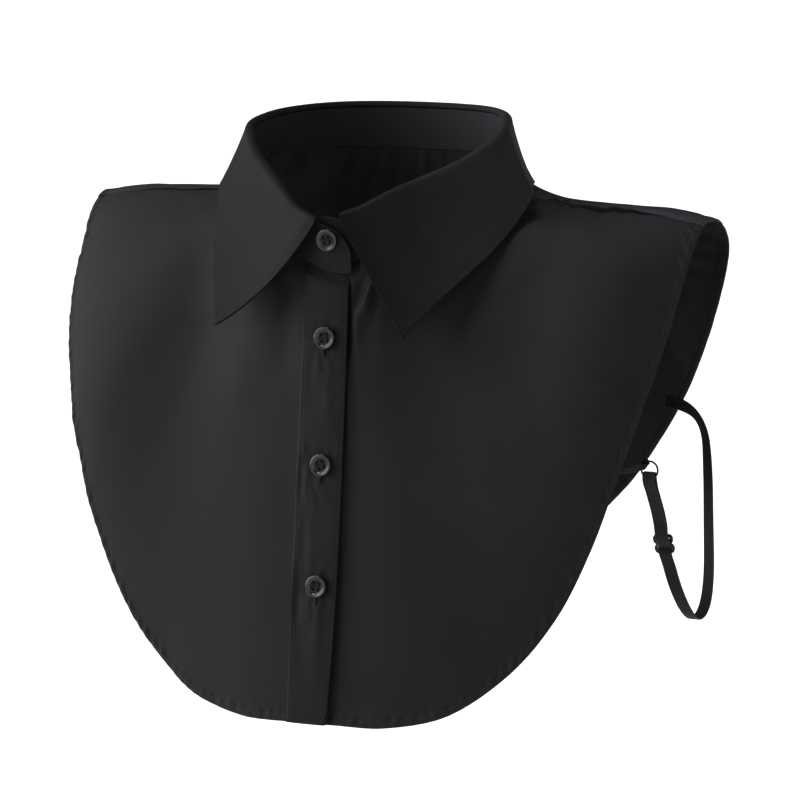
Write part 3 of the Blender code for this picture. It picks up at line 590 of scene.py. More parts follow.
def front_panel(side, word):
    start = SHOULDER_SEAM - FRONT_LIES_UNDER
    places = start + (FRONT_LAP - start) * np.linspace(0, 1, 281) ** 1.35
    points, out, from_neck, from_edge = panel_surface(side, places, 76)
    if side == LEFT:
        points = points - out * (FRONT_TUCK * ease(places, 18.3, 19.6))[:, None, None]
    folded = soft_folds(points, out, side, FRONT_FOLDS[side])
    points = points + (folded - points) * ease(from_neck, 1, 9)[..., None]
    points = neck_recess(points, out, places, from_neck)
    points = turned_hem(points, out, from_edge, 0.30)
    from_seam = run_length(points)
    strength = 1.0 if side == LEFT else SEAM_DRAW_RIGHT
    dip = -0.55 - 0.5 * (1 - ease(from_edge, HEM_WIDTH - 0.5, HEM_WIDTH + 1.5))
    dip = dip - 1.1 * strength * ease(from_edge, 15, 70)
    points = shoulder_seam_draw(points, out, from_seam, from_edge, dip, strength)
    # Paler at the rubbed edges and on the hem's turned band; painted light makes the whole wearer's right front
    # paler, as it faces the light
    wear_and_painted_light = 0.30 * bell(from_edge, 1.8) + 0.16 * bell(from_seam[-1:] - from_seam, 1.0)
    wear_and_painted_light = wear_and_painted_light + 0.25 * (1 - ease(from_edge, 3.5, HEM_WIDTH)) + (0.35 if side == RIGHT else 0.0)
    return hemmed_panel(f"front_{word}", f"front_{word}", points, out, from_edge, side == LEFT, wear_and_painted_light)


front_right, sewing_right = front_panel(RIGHT, "right")
front_left, sewing_left = front_panel(LEFT, "left")


# ------------------------------ Placket
# The buttonhole band is a strip of the same cloth laid over the right front's edge. Both its long edges
# are turned under and topstitched, and it has three worked buttonholes that run down it.

PLACKET_SIDES = (20.0, 21.0)
PLACKET_RISE = 1.5
PLACKET_WALL = 1.0
PLACKET_STITCH = 1.8
# Rows of points from each long edge, among which its stitching lies
BESIDE_EDGE = 8
PLACKET_FOLDS = [
    (20.13, 0.385, 20.15, 0.56, 1.5, -1.1),
    (20.27, 0.375, 20.31, 0.5, 1.3, 0.7),
    (20.4, 0.47, 20.7, 0.54, 1.8, -0.7),
    (20.14, 0.64, 20.11, 0.86, 2.2, -0.9),
    (20.46, 0.725, 20.6, 0.79, 1.8, -0.8),
    (20.72, 0.43, 20.86, 0.36, 1.6, -0.6),
    (20.44, 0.175, 20.62, 0.24, 1.8, -0.7),
    (20.25, 0.55, 20.22, 0.96, 3.2, -0.75),
    (20.6, 0.66, 20.62, 0.99, 3.4, 0.55),
    (20.08, 0.44, 20.4, 0.41, 2.2, -0.5),
    (20.62, 0.2, 20.72, 0.4, 3, 0.4),
    (20.3, 0.18, 20.25, 0.38, 3.4, -0.35),
]
# Millimetres by which the open edge swings out to the wearer's left, at reaches down from the neck seam
PLACKET_SWING = np.array([(0.0, 1.0), (0.14, 1.5), (0.3, 2.2), (0.5, 2.6), (0.65, 2.8), (0.84, 1.8), (0.94, 0.9),
                          (1.0, -0.9)])
PLACKET_WIDTH = 22.2
BUTTONS_SWING = 0.75
BUTTON_DROPS = (32.8, 95.4, 155.4)
BUTTON_THICK = 2.4
BUTTONHOLE = 14.5
BUTTONHOLE_SHIFT = 2.6
BUTTONHOLE_SLIT = 0.9
BLADE_REACH = 6


def placket_spot(drop):
    """A spot on the placket's middle, its way down and its way out, at a distance under the neck seam."""
    middle = sum(PLACKET_SIDES) / 2
    top, foot = panel_line(RIGHT, middle, (0, 1))
    reach = drop / np.linalg.norm(foot - top)
    swing = BUTTONS_SWING * np.interp(reach, *PLACKET_SWING.T) / PLACKET_WIDTH
    return panel_frame(RIGHT, middle + swing, reach)


def relaxed(points, times):
    """A line of values or points with its corners eased, each moved towards its neighbours."""
    for _ in range(times):
        points[1:-1] = 0.25 * points[:-2] + 0.5 * points[1:-1] + 0.25 * points[2:]
    return points


def placket_strip():
    places = np.linspace(*PLACKET_SIDES, 65)
    points, out, from_neck, from_edge = panel_surface(RIGHT, places, 150)
    across = unit(np.gradient(points, axis=0))
    swing = np.interp(from_neck / (from_neck + from_edge), *PLACKET_SWING.T)
    swing = relaxed(swing.T, 200).T
    points = points + across * (swing * (places - places[0])[:, None])[..., None]
    points = soft_folds(points + out * PLACKET_RISE, out, RIGHT, PLACKET_FOLDS)
    points = neck_recess(points, out, places, from_neck)
    across, along = run_length(points), run_length(points, 1)
    from_side = np.minimum(across, across[-1:] - across)
    from_stitch = from_side - PLACKET_STITCH
    pressed = -0.18 * bell(from_side, 0.6) - 0.12 * bell(from_stitch, 0.5) - 0.24 * bell(across, 1.3)
    ripple = uneven_wave(along, 0.9, 1.5, 7.0) + 0.7 * uneven_wave(along, 3.1, 1.8, 19.0)
    pressed = pressed + 0.09 * ripple * bell(from_stitch, 2.0)
    for drop in BUTTON_DROPS:
        spot, _, _ = placket_spot(drop)
        gap = np.linalg.norm(points - spot, axis=2)
        turn = np.arctan2(points[..., 2] - spot[2], points[..., 0] - spot[0])
        pressed = pressed - 0.7 * bell(gap, 6.5) + 0.16 * np.sin(7 * turn + drop) * bell(gap - 8, 3.0)
    points = points + out * pressed[..., None]
    # Paler at the rubbed hem; painted shade darkens both long edges, and the strip is darker all over and darker
    # towards its foot
    wear_and_painted_light = 0.18 * bell(from_edge, 1.2) - 0.1 - 0.5 * bell(from_side, 0.5) - 0.3 * ease(along, 130, 210)
    piece = cloth_piece("placket_cloth", "placket", points, PLACKET_WALL, -1, False, poplin, wear_and_painted_light)
    runs = []
    for turn in (1, -1):
        gaps, rows = from_side[::turn][:BESIDE_EDGE], points[::turn][:BESIDE_EDGE]
        line = np.array([point_at(PLACKET_STITCH, gaps[:, j], rows[:, j]) for j in range(points.shape[1])])
        runs += sewn_run(line, out[::turn][0], 0.06)
    return piece, stitches("placket_stitches", runs, black_thread)


def buttonhole(name, middle, ahead, out, half):
    """Satin stitches side by side round a slit, with a bar across each end."""
    across = unit(np.cross(out, ahead))
    runs = []
    for side in (-1, 1):
        for step in np.arange(-half + 0.4, half - 0.3, 0.36):
            spot = middle + ahead * step + across * side * 0.98 + out * 0.10
            runs.append((spot, across, out, 1.15, THREAD))
    for end in (-1, 1):
        for step in (0.0, 0.32, 0.64):
            runs.append((middle + ahead * end * (half + step - 0.3) + out * 0.14, across, out, 2.5, 0.36))
    return stitches(name, runs, black_thread)


def cut_away(piece, tool):
    """Cuts the tool's form out of the piece and puts the tool away."""
    bpy.ops.object.select_all(action="DESELECT")
    modify(piece, "BOOLEAN", operation="DIFFERENCE", object=tool)
    bpy.data.objects.remove(tool)


def set_at(x_way, y_way, z_way, spot):
    """The matrix that turns a form's own x, y and z to these ways and moves it to the spot."""
    return Matrix([(x_way[k], y_way[k], z_way[k], spot[k]) for k in range(3)] + [(0, 0, 0, 1)])


def slit(piece, middle, ahead, out, half):
    """Cuts the cloth through between the stitches of a buttonhole."""
    blade = new_form(bpy.ops.mesh.primitive_cube_add, size=1)
    across = unit(np.cross(out, ahead))
    blade.matrix_world = set_at(ahead * 2 * half * MM, across * BUTTONHOLE_SLIT * MM, out * BLADE_REACH * MM,
                                middle * MM)
    cut_away(piece, blade)


placket, placket_sewing = placket_strip()
for count, drop in enumerate(BUTTON_DROPS, start=2):
    spot, down, way = placket_spot(drop)
    middle = spot + down * BUTTONHOLE_SHIFT + way * (PLACKET_RISE - 0.3)
    slit(placket, middle, down, way, BUTTONHOLE / 2 - 0.6)
    buttonhole(f"buttonhole_{count}", middle, down, way, BUTTONHOLE / 2)


# ------------------------------ Collar band
# The band stands round the neck. It is two layers of poplin over a stiff interlining, sewn round the ends
# and turned out, with a row of topstitching just inside its edge and a worked buttonhole in its right end.

BAND_WALL = 1.4
BAND_TUCK = 2.8
TAB_END = 13.1
TAB_PROUD = 1.2
TAB_ROUND_FROM = 12.45
TAB_ROUND_TOP = 0.45
TAB_ROUND_FOOT = 0.2
UNDER_END = 12.85
UNDER_OVERLAP = 1.3
UNDER_RISES = (11.75, 12.7)
UNDER_RISE = 5.0
NECK_SEAM_GAP = 0.5
BAND_STITCH = 1.75
# Rows of points, from the right end, beside which the foot and the top are topstitched
BAND_FOOT_SEWN, BAND_TOP_SEWN = 110, 60
BAND_BUTTON_AT = 12.4
BAND_BUTTON_HEIGHT = 0.73


def band_line(side, place):
    """Seam and top of the collar band, and the way out. At the front the left end lies under the right."""
    row = between(NECK_ROWS, NECK_TURN, place)
    seam, top = row[:3], row[3:]
    ahead = (between(NECK_ROWS, NECK_TURN, place + 0.01) - between(NECK_ROWS, NECK_TURN, place - 0.01))[:3]
    inward = unit(np.cross(ahead, UP))
    if side == LEFT:
        tuck = BAND_TUCK * ease(place, 10.2, 11.3)
        seam = seam + inward * tuck
    else:
        tuck = -TAB_PROUD * ease(place, 11.2, 12.2)
    top = top + inward * tuck
    turn = np.array([side, 1, 1])
    return seam * turn, top * turn, -inward * turn


def band_points(side, place, heights):
    """Points up the band at a place. The right end is a tab with round corners, and the left end, which
    lies under it, stands a little higher."""
    seam, top, _ = band_line(side, place)
    foot = seam + unit(top - seam) * NECK_SEAM_GAP
    if side == LEFT:
        foot = foot - unit(top - seam) * UNDER_OVERLAP * ease(place, 10.2, 11.0)
    heights = np.asarray(heights)
    if side == RIGHT:
        t = 0.985 * np.clip((place - TAB_ROUND_FROM) / (TAB_END - TAB_ROUND_FROM), 0, 1)
        rounding = 1 - math.sqrt(1 - t * t)
        heights = TAB_ROUND_FOOT * rounding + heights * (1 - (TAB_ROUND_TOP + TAB_ROUND_FOOT) * rounding)
    else:
        t = np.clip((place - UNDER_RISES[0]) / (UNDER_RISES[1] - UNDER_RISES[0]), 0, 1)
        top = top + UP * UNDER_RISE * (1 - (1 - t) ** 2)
    return foot + (top - foot) * heights[:, None]


def distance_to(border, points):
    return np.min(np.linalg.norm(points[:, :, None] - border[None, None, ::2], axis=3), axis=2)


def collar_band():
    along = np.linspace(-1, 1, 261)
    sides = np.where(along > 0, LEFT, RIGHT)
    places = np.where(along > 0, UNDER_END, TAB_END) * (1 - (1 - np.abs(along)) ** 1.5)
    heights = (1 - np.cos(np.pi * np.linspace(0, 1, 25))) / 2
    points = np.array([band_points(side, place, heights) for side, place in zip(sides, places)])
    out = -ways_out(points, 1)
    border, border_out = (np.concatenate([rows[BAND_FOOT_SEWN::-1, 0], rows[0, 1:-1], rows[:BAND_TOP_SEWN, -1]])
                          for rows in (points, out))
    ahead = unit(np.gradient(border, axis=0))
    line = border - unit(np.cross(ahead, border_out)) * BAND_STITCH
    from_border = distance_to(border, points)
    groove = -0.16 * bell(from_border - BAND_STITCH, 0.5) * (points[..., 0] < 60)
    ripple = 0.10 * uneven_wave(run_length(points), 1.1, 1, 9) * bell(from_border - BAND_STITCH, 1.6)
    points = points + out * (groove + ripple)[..., None]
    sided = np.copysign(places, along)[:, None]
    # Paler at the rubbed border; painted light makes the band paler from the centre back round the wearer's left
    # side, where it faces the light
    wear_and_painted_light = 0.25 * bell(from_border, 0.8) + 2.2 * ease(sided, -3, 3) * (1 - ease(sided, 6, 9))
    piece = cloth_piece("band_cloth", "collar_band", points, BAND_WALL, 0, False, poplin, wear_and_painted_light, round_edge=0.45,
                        even=False)
    foot = points[:, 0] + unit(points[:, 1] - points[:, 0]) * 1.6
    runs = sewn_run(line, border_out, BAND_WALL / 2 + 0.02)
    runs += sewn_run(foot[4:-4], -out[4:-4, 0], BAND_WALL / 2 + 0.03)
    return piece, stitches("band_stitches", runs, black_thread)


band, band_sewing = collar_band()
seam, top, band_out = band_line(RIGHT, BAND_BUTTON_AT)
band_rise = unit(top - seam)
band_out = unit(band_out - band_rise * (band_out @ band_rise))
band_across = unit(np.cross(band_out, band_rise))
band_spot = band_points(RIGHT, BAND_BUTTON_AT, [BAND_BUTTON_HEIGHT])[0]
band_hole = buttonhole("buttonhole_1", band_spot + band_across * 0.8 + band_out * (BAND_WALL / 2 - 0.05),
                       band_across, band_out, 6.6)


# ------------------------------ Collar leaf
# The turned-down collar is two layers of poplin over interlining, sewn together along its points, turned
# right side out and pressed. Its inner edge is caught between the band's layers, and it rolls over there.

LEAF_WALL = 1.1
# Place on the band, free edge x, y, z, swell between the fold and the edge
LEAF_ROWS = np.array([
    (0, 0, 64, -4, 1.5),
    (1, 24, 62.5, -4, 1.5),
    (2, 46, 56.5, -2.5, 2),
    (3, 64, 43.5, 2, 2.5),
    (4, 73.5, 25, 3, 1),
    (5, 80.5, 9, 0.5, 0.5),
    (6, 87.5, -4.5, -2.5, 0.5),
    (7, 84, -15, -14.5, 1),
    (8, 78, -28, -27, 2),
    (9, 69.5, -44, -40, 3),
    (10, 61.5, -58, -51.5, 3.5),
    (10.9, 55.5, -67, -60.6, 3),
    (11.6, 51.8, -72.5, -67, 2),
])
LEAF_TURN = np.array([-1, -1, 1, 1, 1])
LEAF_SEAM_GAP = 0.6
FOLD_RADIUS = 2.2
LEAF_LAP_SHIFT = 2.0
LEAF_RIGHT_LAP = 0.5
LEAF_RIGHT_BOW = 5.0
LEFT_TIP_DROP = 1.5
LEFT_SHOULDER_DROP = 3.0
LEAF_TIP = len(LEAF_ROWS) - 1
# Points over the roll, and from there down to the free edge
LEAF_ROLL, LEAF_FALL = 12, 36
# How far along from the centre back the collar's points begin
LEAF_POINT = 7.5


def leaf_cut(side, along):
    """Points of one cut of the leaf: up from the band, over the roll and down to its free edge."""
    row = between(LEAF_ROWS, LEAF_TURN, along)
    place = row[0] + (0.0 if side == LEFT else LEAF_RIGHT_LAP) * ease(along, LEAF_TIP - 2, LEAF_TIP)
    seam, top, out = band_line(side, place)
    rise = unit(top - seam)
    foot = top + rise * LEAF_SEAM_GAP
    turn = np.radians(np.linspace(0, 180, LEAF_ROLL + 1))[:, None]
    fold = foot + FOLD_RADIUS * (out * (1 - np.cos(turn)) + rise * np.sin(turn))
    flip = np.array([side, 1, 1])
    edge = row[1:4] * flip - np.array([LEAF_LAP_SHIFT * ease(along, 8, LEAF_TIP), 0, 0])
    if side == LEFT:
        edge = edge - UP * LEFT_TIP_DROP * np.clip((along - LEAF_TIP) / 5 + 1, 0, 1) ** 1.5
        edge = edge - UP * LEFT_SHOULDER_DROP * bell(along - 3.5, 1.2)
    ahead = between(LEAF_ROWS, LEAF_TURN, min(along + 0.1, LEAF_TIP)) - between(LEAF_ROWS, LEAF_TURN, along - 0.1)
    ahead = ahead[1:4] * flip
    swell_way = unit(np.cross(ahead, edge - fold[-1])) * -side
    forward = unit(ahead) * (0.0 if side == LEFT else LEAF_RIGHT_BOW) * ease(along, LEAF_TIP - 3, LEAF_TIP)
    fall = np.linspace(0, 1, LEAF_FALL + 1)[1:, None] ** 0.9
    bow = 4 * fall * (1 - fall)
    down = fold[-1] + (edge - fold[-1]) * fall + (swell_way * row[4] + forward) * bow
    return np.concatenate([fold, down])


def collar_leaf():
    along = np.linspace(-1, 1, 241)
    along = LEAF_TIP * np.sign(along) * (1 - (1 - np.abs(along)) ** 1.15)
    points = np.array([leaf_cut(LEFT if a > 0 else RIGHT, abs(a)) for a in along])
    out = -ways_out(points, 1)
    border = np.concatenate([points[0, LEAF_ROLL:], points[:, -1], points[-1, LEAF_ROLL:]])
    from_border = distance_to(border, points)
    edge_run = run_length(points[:, -1])[:, None]
    wave = 0.35 * uneven_wave(edge_run, 13.0, 1.1, 37.0) * bell(from_border, 16.0)
    pressed = -0.18 * bell(from_border, 0.9) - 0.10 * bell(from_border - 5.5, 1.5)
    points = points + out * (wave + pressed)[..., None]
    # Paler at the rubbed border; painted shade darkens both collar points, and painted light makes the wearer's
    # left leaf paler from the centre back to where its point begins
    wear_and_painted_light = 0.30 * bell(from_border, 1.1) - 0.5 * ease(np.abs(along), LEAF_POINT, LEAF_TIP)[:, None]
    wear_and_painted_light = wear_and_painted_light + 1.3 * (ease(along, 0, 4) * (1 - ease(along, LEAF_POINT, LEAF_TIP)))[:, None]
    # A darker, duller copy of the same poplin gives the whole leaf painted shade
    shaded_poplin = woven_cloth("shaded_collar_poplin", (0.0016, 0.0015, 0.0018), (0.0152, 0.0147, 0.0178), 0.012, 0.05)
    piece = cloth_piece("leaf_cloth", "collar_leaf", points, LEAF_WALL, 0, False, shaded_poplin, wear_and_painted_light, round_edge=0.4)


collar_leaf()


# ------------------------------ Buttons
# Four glossy black shirt buttons with a raised rim and four holes, sewn on with two bars of thread. One
# closes the collar band and three close the placket.

BUTTON_RADIUS = 5.5
BUTTON_HOLE_RADIUS = 0.75
BUTTON_HOLE_OUT = 1.45
DRILL_REACH = 8
# The duller finish covers the dish, out to its radius, and the side below this height
BUTTON_DISH = 3.45
BUTTON_LOWER = 1.1
# Depth of the dish's face, where the thread lies, and height of the button over the cloth
THREAD_SINK = 0.97
BUTTON_SEAT = 0.3
BUTTON_THREAD = 0.3
BUTTON_STRANDS = (-0.22, 0.0, 0.22)
# How far in from the last step each step of the face begins, and how deep it lies
BUTTON_STEPS = ((1.25, 0), (0.55, -0.85), (1.4, -0.12))


def button_plastic(name, gloss, roughness, tint):
    """Cast black polyester with a faint swirl and fine scuffs."""
    cast = Finish(name, {"Specular IOR Level": gloss})
    cast.colour(cast.noise(cast.solid, 420, 5, 0.6), [c * tint for c in (0.0015, 0.0015, 0.0018)],
                [c * tint for c in (0.0060, 0.0060, 0.0063)])
    scuffs = cast.noise(cast.solid, 1800, 3)
    cast.rough(scuffs, 0.35, 0.65, roughness, roughness + 0.12)
    cast.bump(scuffs, 0.12, 0.04)
    return cast.made


def button_form(rim_finish, dish_finish):
    """A turned blank: the rim is rounded, the face is dished in two steps, and four holes are drilled."""
    blank = new_form(bpy.ops.mesh.primitive_cylinder_add, vertices=48, radius=BUTTON_RADIUS * MM,
                     depth=BUTTON_THICK * MM, location=(0, 0, BUTTON_THICK / 2 * MM))
    bpy.ops.object.transform_apply(location=True, rotation=False, scale=False)
    bpy.ops.object.mode_set(mode="EDIT")
    bpy.ops.mesh.select_all(action="DESELECT")
    bpy.ops.object.mode_set(mode="OBJECT")
    for face in blank.data.polygons:
        face.select = face.normal.z > 0.9
    bpy.ops.object.mode_set(mode="EDIT")
    for inward, depth in BUTTON_STEPS:
        bpy.ops.mesh.inset(thickness=inward * MM, depth=depth * MM)
    bpy.ops.object.mode_set(mode="OBJECT")
    modify(blank, "BEVEL", width=0.5 * MM, segments=4, limit_method="ANGLE", angle_limit=math.radians(35))
    for x in (-BUTTON_HOLE_OUT, BUTTON_HOLE_OUT):
        for y in (-BUTTON_HOLE_OUT, BUTTON_HOLE_OUT):
            drill = new_form(bpy.ops.mesh.primitive_cylinder_add, vertices=16, radius=BUTTON_HOLE_RADIUS * MM,
                             depth=DRILL_REACH * MM, location=(x * MM, y * MM, 0))
            cut_away(blank, drill)
    blank.data.materials.clear()
    blank.data.materials.append(rim_finish)
    blank.data.materials.append(dish_finish)
    for face in blank.data.polygons:
        x, y, z = face.center
        face.material_index = 1 if math.hypot(x, y) < BUTTON_DISH * MM or z < BUTTON_LOWER * MM else 0
    blank.select_set(True)
    bpy.ops.object.shade_smooth_by_angle(angle=math.radians(32))
    return blank


def sew_button(blank, count, spot, out, turn):
    """A copy of the blank at its place, and the threads through its holes."""
    across = unit(np.cross(UP, out))
    up = np.cross(out, across)
    across, up = across * math.cos(turn) + up * math.sin(turn), up * math.cos(turn) - across * math.sin(turn)
    piece = blank.copy()
    piece.data = blank.data.copy()
    piece.name = piece.data.name = f"shirt_button_{count}"
    bpy.context.scene.collection.objects.link(piece)
    piece.data.transform(set_at(across, up, out, spot * MM))
    put_in_place(piece, None, f"button_{count}")
    face = spot + out * (BUTTON_THICK - THREAD_SINK)
    runs = []
    for side in (-1, 1):
        for strand in BUTTON_STRANDS:
            start = face + across * (side * BUTTON_HOLE_OUT + strand)
            proud = 0.16 - 0.1 * abs(strand)
            runs.append((start + out * proud, up, out, 2 * BUTTON_HOLE_OUT + 0.7, BUTTON_THREAD))
            for end in (-1, 1):
                low = start + up * end * (BUTTON_HOLE_OUT + 0.15) - out * 0.55
                runs.append((low, unit(out - up * end * 0.35), up, 1.5, BUTTON_THREAD))
    stitches(f"button_thread_{count}", runs, dark_thread)


dark_thread = thread_finish("button_thread", (0.0010, 0.0010, 0.0011))
button_blank = button_form(button_plastic("black_button_rim", 0.42, 0.13, 1),
                           button_plastic("black_button_dish", 0.05, 0.30, 2.2))
band_button_spot = band_spot + band_out * (BAND_WALL / 2 + BUTTON_SEAT)
sew_button(button_blank, 1, band_button_spot, band_out, 0.25)
for count, drop, turn in zip((2, 3, 4), BUTTON_DROPS, (0.08, 0.5, -0.12)):
    spot, down, way = placket_spot(drop)
    sew_button(button_blank, count, spot + way * (PLACKET_RISE + BUTTON_SEAT), way, turn)
bpy.data.objects.remove(button_blank)


# ------------------------------ Ring tabs
# A narrow strip of the poplin is folded round each ring's wire. Both its ends lie inside the front's free
# edge and are caught in the hem's stitching.

RING_RADIUS = 4.3
RING_WIRE = 0.5
RING_CENTRE = np.array([161.8, -28.0, -130.7])
RIGHT_SIDE_SHIFT = np.array([-12.0, 4.0, 0.0])
RING_TAB_CUT = 14
RING_TAB_REACHES = (0.93, 0.9475, 0.965, 0.9825, 1.0)
RING_TAB_LEAN = 40
RING_TAB_WIDTH = 4.0
RING_TAB_WALL = 0.8
RING_TAB_GAP = 0.3


def hang(side, xyz):
    """A point of the wearer's left strap, or its place on the right, where the strap hangs further in."""
    return xyz if side == LEFT else (xyz + RIGHT_SIDE_SHIFT) * np.array([-1, 1, 1])


def ribbon(name, stands_for, route, acrosses, profile, finish, widths=1.0, pale_from_wear_and_light=0.0):
    """Webbing or folded cloth: a grid wrapped round the route, from (across, up, wear) points of its
    section, with painted light added along the route, closed along its side and filled at both ends."""
    ahead = unit(np.gradient(route, axis=0))
    across = unit(acrosses - ahead * np.sum(acrosses * ahead, axis=1, keepdims=True))
    face = np.cross(ahead, across)
    across_by, up_by, wear_and_painted_light = np.array([*profile, profile[0]]).T
    across_by = across_by[None, :, None] * np.broadcast_to(widths, len(route))[:, None, None]
    points = route[:, None] + across[:, None] * across_by + face[:, None] * up_by[None, :, None]
    around = run_length(np.array([*profile, profile[0]])[:, :2])
    flat = np.stack(np.broadcast_arrays(around[None, :], run_length(route)[:, None]), 2)
    piece = grid_piece(name, points, flat, wear_and_painted_light + np.broadcast_to(pale_from_wear_and_light, len(route))[:, None])
    bpy.ops.object.mode_set(mode="EDIT")
    bpy.ops.mesh.select_all(action="SELECT")
    bpy.ops.mesh.remove_doubles(threshold=0.01 * MM)
    bpy.ops.mesh.fill_holes(sides=0)
    bpy.ops.mesh.select_all(action="SELECT")
    bpy.ops.mesh.normals_make_consistent(inside=False)
    bpy.ops.object.mode_set(mode="OBJECT")
    bpy.ops.object.shade_smooth_by_angle(angle=math.radians(60))
    return put_in_place(piece, finish, stands_for)


def two_faced(top):
    """The whole section, from the points of its upper face."""
    return top + [(x, -up, wear_and_painted_light) for x, up, wear_and_painted_light in top[::-1]]


def tab_profile():
    """The tab's section: two turned edges, each stitched just inside the fold."""
    top = []
    for x in np.linspace(-1, 1, 25):
        rounding = math.sqrt(max(0.0, 1 - abs(x) ** 6))
        groove = 0.10 * bell(abs(x) - 0.62, 0.12)
        top.append((x * RING_TAB_WIDTH / 2, max(RING_TAB_WALL / 2 * rounding - groove, 0.05), 0.3 * abs(x) ** 6))
    return two_faced(top)


def ring_tab(side, word):
    bow = RING_RADIUS - math.sqrt(RING_RADIUS**2 - (RING_TAB_WIDTH / 2) ** 2)
    round_wire = RING_WIRE + RING_TAB_GAP + RING_TAB_WALL / 2 + bow
    lean = math.radians(RING_TAB_LEAN)
    along_wire = np.array([math.sin(lean) * side, 0.0, math.cos(lean)])
    wire = hang(side, RING_CENTRE + np.array([-math.cos(lean), 0.0, math.sin(lean)]) * (RING_RADIUS - bow / 2))
    apart = (RING_TAB_WALL + RING_TAB_GAP) / 2
    depth = HEM_WALL + RING_TAB_GAP + RING_TAB_WALL / 2 + apart
    frames = [panel_frame(side, RING_TAB_CUT, reach) for reach in RING_TAB_REACHES]
    _, down, out = frames[-1]
    along_edge = unit(np.cross(out, down)) * side
    middle = [spot - way * depth for spot, _, way in frames]
    ahead = unit(wire - middle[-1])
    near = unit(np.cross(ahead, along_wire)) * -side
    before_wire = wire - ahead * 2 * round_wire
    out_leg = [spot + out * apart for spot in middle]
    back_leg = [spot - out * apart for spot in middle[::-1]]
    loop = [wire + round_wire * (-near * math.cos(turn) + ahead * math.sin(turn))
            for turn in np.radians(np.arange(0, 181, 10))]
    out_knee, back_knee = (before_wire + near * round_wire * 0.75 * way for way in (-1, 1))
    points = np.array([
        *out_leg, *np.linspace(out_leg[-1], out_knee, 5)[1:], *np.linspace(out_knee, loop[0], 4)[1:-1], *loop,
        *np.linspace(loop[-1], back_knee, 4)[1:-1], *np.linspace(back_knee, back_leg[0], 5)[:-1], *back_leg])
    from_cloth = np.minimum(run_length(points), run_length(points[::-1])[::-1])
    sewn = 1 - ease(from_cloth, from_cloth[len(middle) - 1], from_cloth[len(middle) + 6])
    ways = sewn[:, None] * along_edge + (1 - sewn)[:, None] * along_wire
    return ribbon(f"ring_tab_cloth_{word}", f"ring_tab_{word}", relaxed(points, 3), ways, tab_profile(), poplin)


tab_left = ring_tab(LEFT, "left")
tab_right = ring_tab(RIGHT, "right")


# ------------------------------ Rings and sliders
# The ring is a length of steel wire bent round until its ends meet, and the slider is pressed from steel
# plate with two slots. Both are coated in black enamel, which has thinned and chipped a little at the edges.

RING_JOINT = 0.12
RING_JOINT_DEPTH = 0.09
RING_TURN = 35


def enamel_coat():
    """Baked black enamel over steel: a soft orange-peel gloss with fine rubbed specks."""
    coat = Finish("black_enamel", {"Specular IOR Level": 0.18})
    peel = coat.noise(coat.solid, 700, 3)
    specks = coat.ranged(coat.noise(coat.solid, 1600, 4, 0.65), 0.62, 0.74, 0.0, 1.0)
    coat.colour(specks, (0.0028, 0.0028, 0.0030), (0.020, 0.020, 0.021))
    coat.rough(peel, 0.3, 0.7, 0.26, 0.42)
    coat.bump(peel, 0.2, 0.04)
    return coat.made


def select_joint(piece):
    """Selects the edges of the wire's section where its ends meet."""
    bpy.ops.object.mode_set(mode="EDIT")
    bpy.ops.mesh.select_mode(type="EDGE")
    bpy.ops.mesh.select_all(action="DESELECT")
    bpy.ops.object.mode_set(mode="OBJECT")
    for edge in piece.data.edges:
        a, b = (piece.data.vertices[i].co for i in edge.vertices)
        edge.select = abs(a.x) < 1e-7 and abs(b.x) < 1e-7 and a.y < 0 and b.y < 0
    bpy.ops.object.mode_set(mode="EDIT")


def ring(side, word, finish):
    """Wire bent to a circle, with a fine groove where its two ends butt together."""
    piece = new_form(bpy.ops.mesh.primitive_torus_add, major_segments=48, minor_segments=16,
                     major_radius=RING_RADIUS * MM, minor_radius=RING_WIRE * MM)
    piece.name = piece.data.name = f"ring_wire_{word}"
    select_joint(piece)
    bpy.ops.mesh.bevel(offset=RING_JOINT * MM, segments=2, affect="EDGES")
    select_joint(piece)
    bpy.ops.transform.shrink_fatten(value=-RING_JOINT_DEPTH * MM)
    bpy.ops.mesh.select_mode(type="VERT")
    bpy.ops.object.mode_set(mode="OBJECT")
    piece.rotation_euler = (math.radians(90), math.radians(-RING_TURN * side), 0)
    piece.location = hang(side, RING_CENTRE) * MM
    bpy.ops.object.transform_apply(location=True, rotation=True, scale=True)
    bpy.ops.object.shade_smooth_by_angle(angle=math.radians(50))
    put_in_place(piece, finish, f"ring_{word}")


def slider(word, finish):
    """The pressed plate with its rims rounded over."""
    node = bpy.data.objects[f"slider_{word}"]
    piece = bpy.data.objects.new(f"slider_plate_{word}", node.data.copy())
    piece.data.transform(node.matrix_world)
    bpy.context.scene.collection.objects.link(piece)
    bpy.ops.object.select_all(action="DESELECT")
    bpy.context.view_layer.objects.active = piece
    piece.select_set(True)
    bpy.ops.mesh.customdata_custom_splitnormals_clear()
    bpy.ops.object.mode_set(mode="EDIT")
    bpy.ops.mesh.select_all(action="SELECT")
    bpy.ops.mesh.remove_doubles(threshold=0.001 * MM)
    bpy.ops.mesh.dissolve_limited(angle_limit=math.radians(1))
    bpy.ops.mesh.normals_make_consistent(inside=False)
    bpy.ops.object.mode_set(mode="OBJECT")
    round_off(piece, 0.16, 3, 40, 35)
    piece.data.materials.clear()
    put_in_place(piece, finish, f"slider_{word}")


enamel = enamel_coat()
ring(LEFT, "left", enamel)
ring(RIGHT, "right", enamel)
slider("left", enamel)
slider("right", enamel)


# ------------------------------ Straps
# Under each arm hangs a strap of ribbed black elastic. It runs through an enamelled ring and a slider,
# round below the arm, and is sewn to the inside of the back panel.

STRAP_WIDTH = 6.6
STRAP_WALL = 1.0
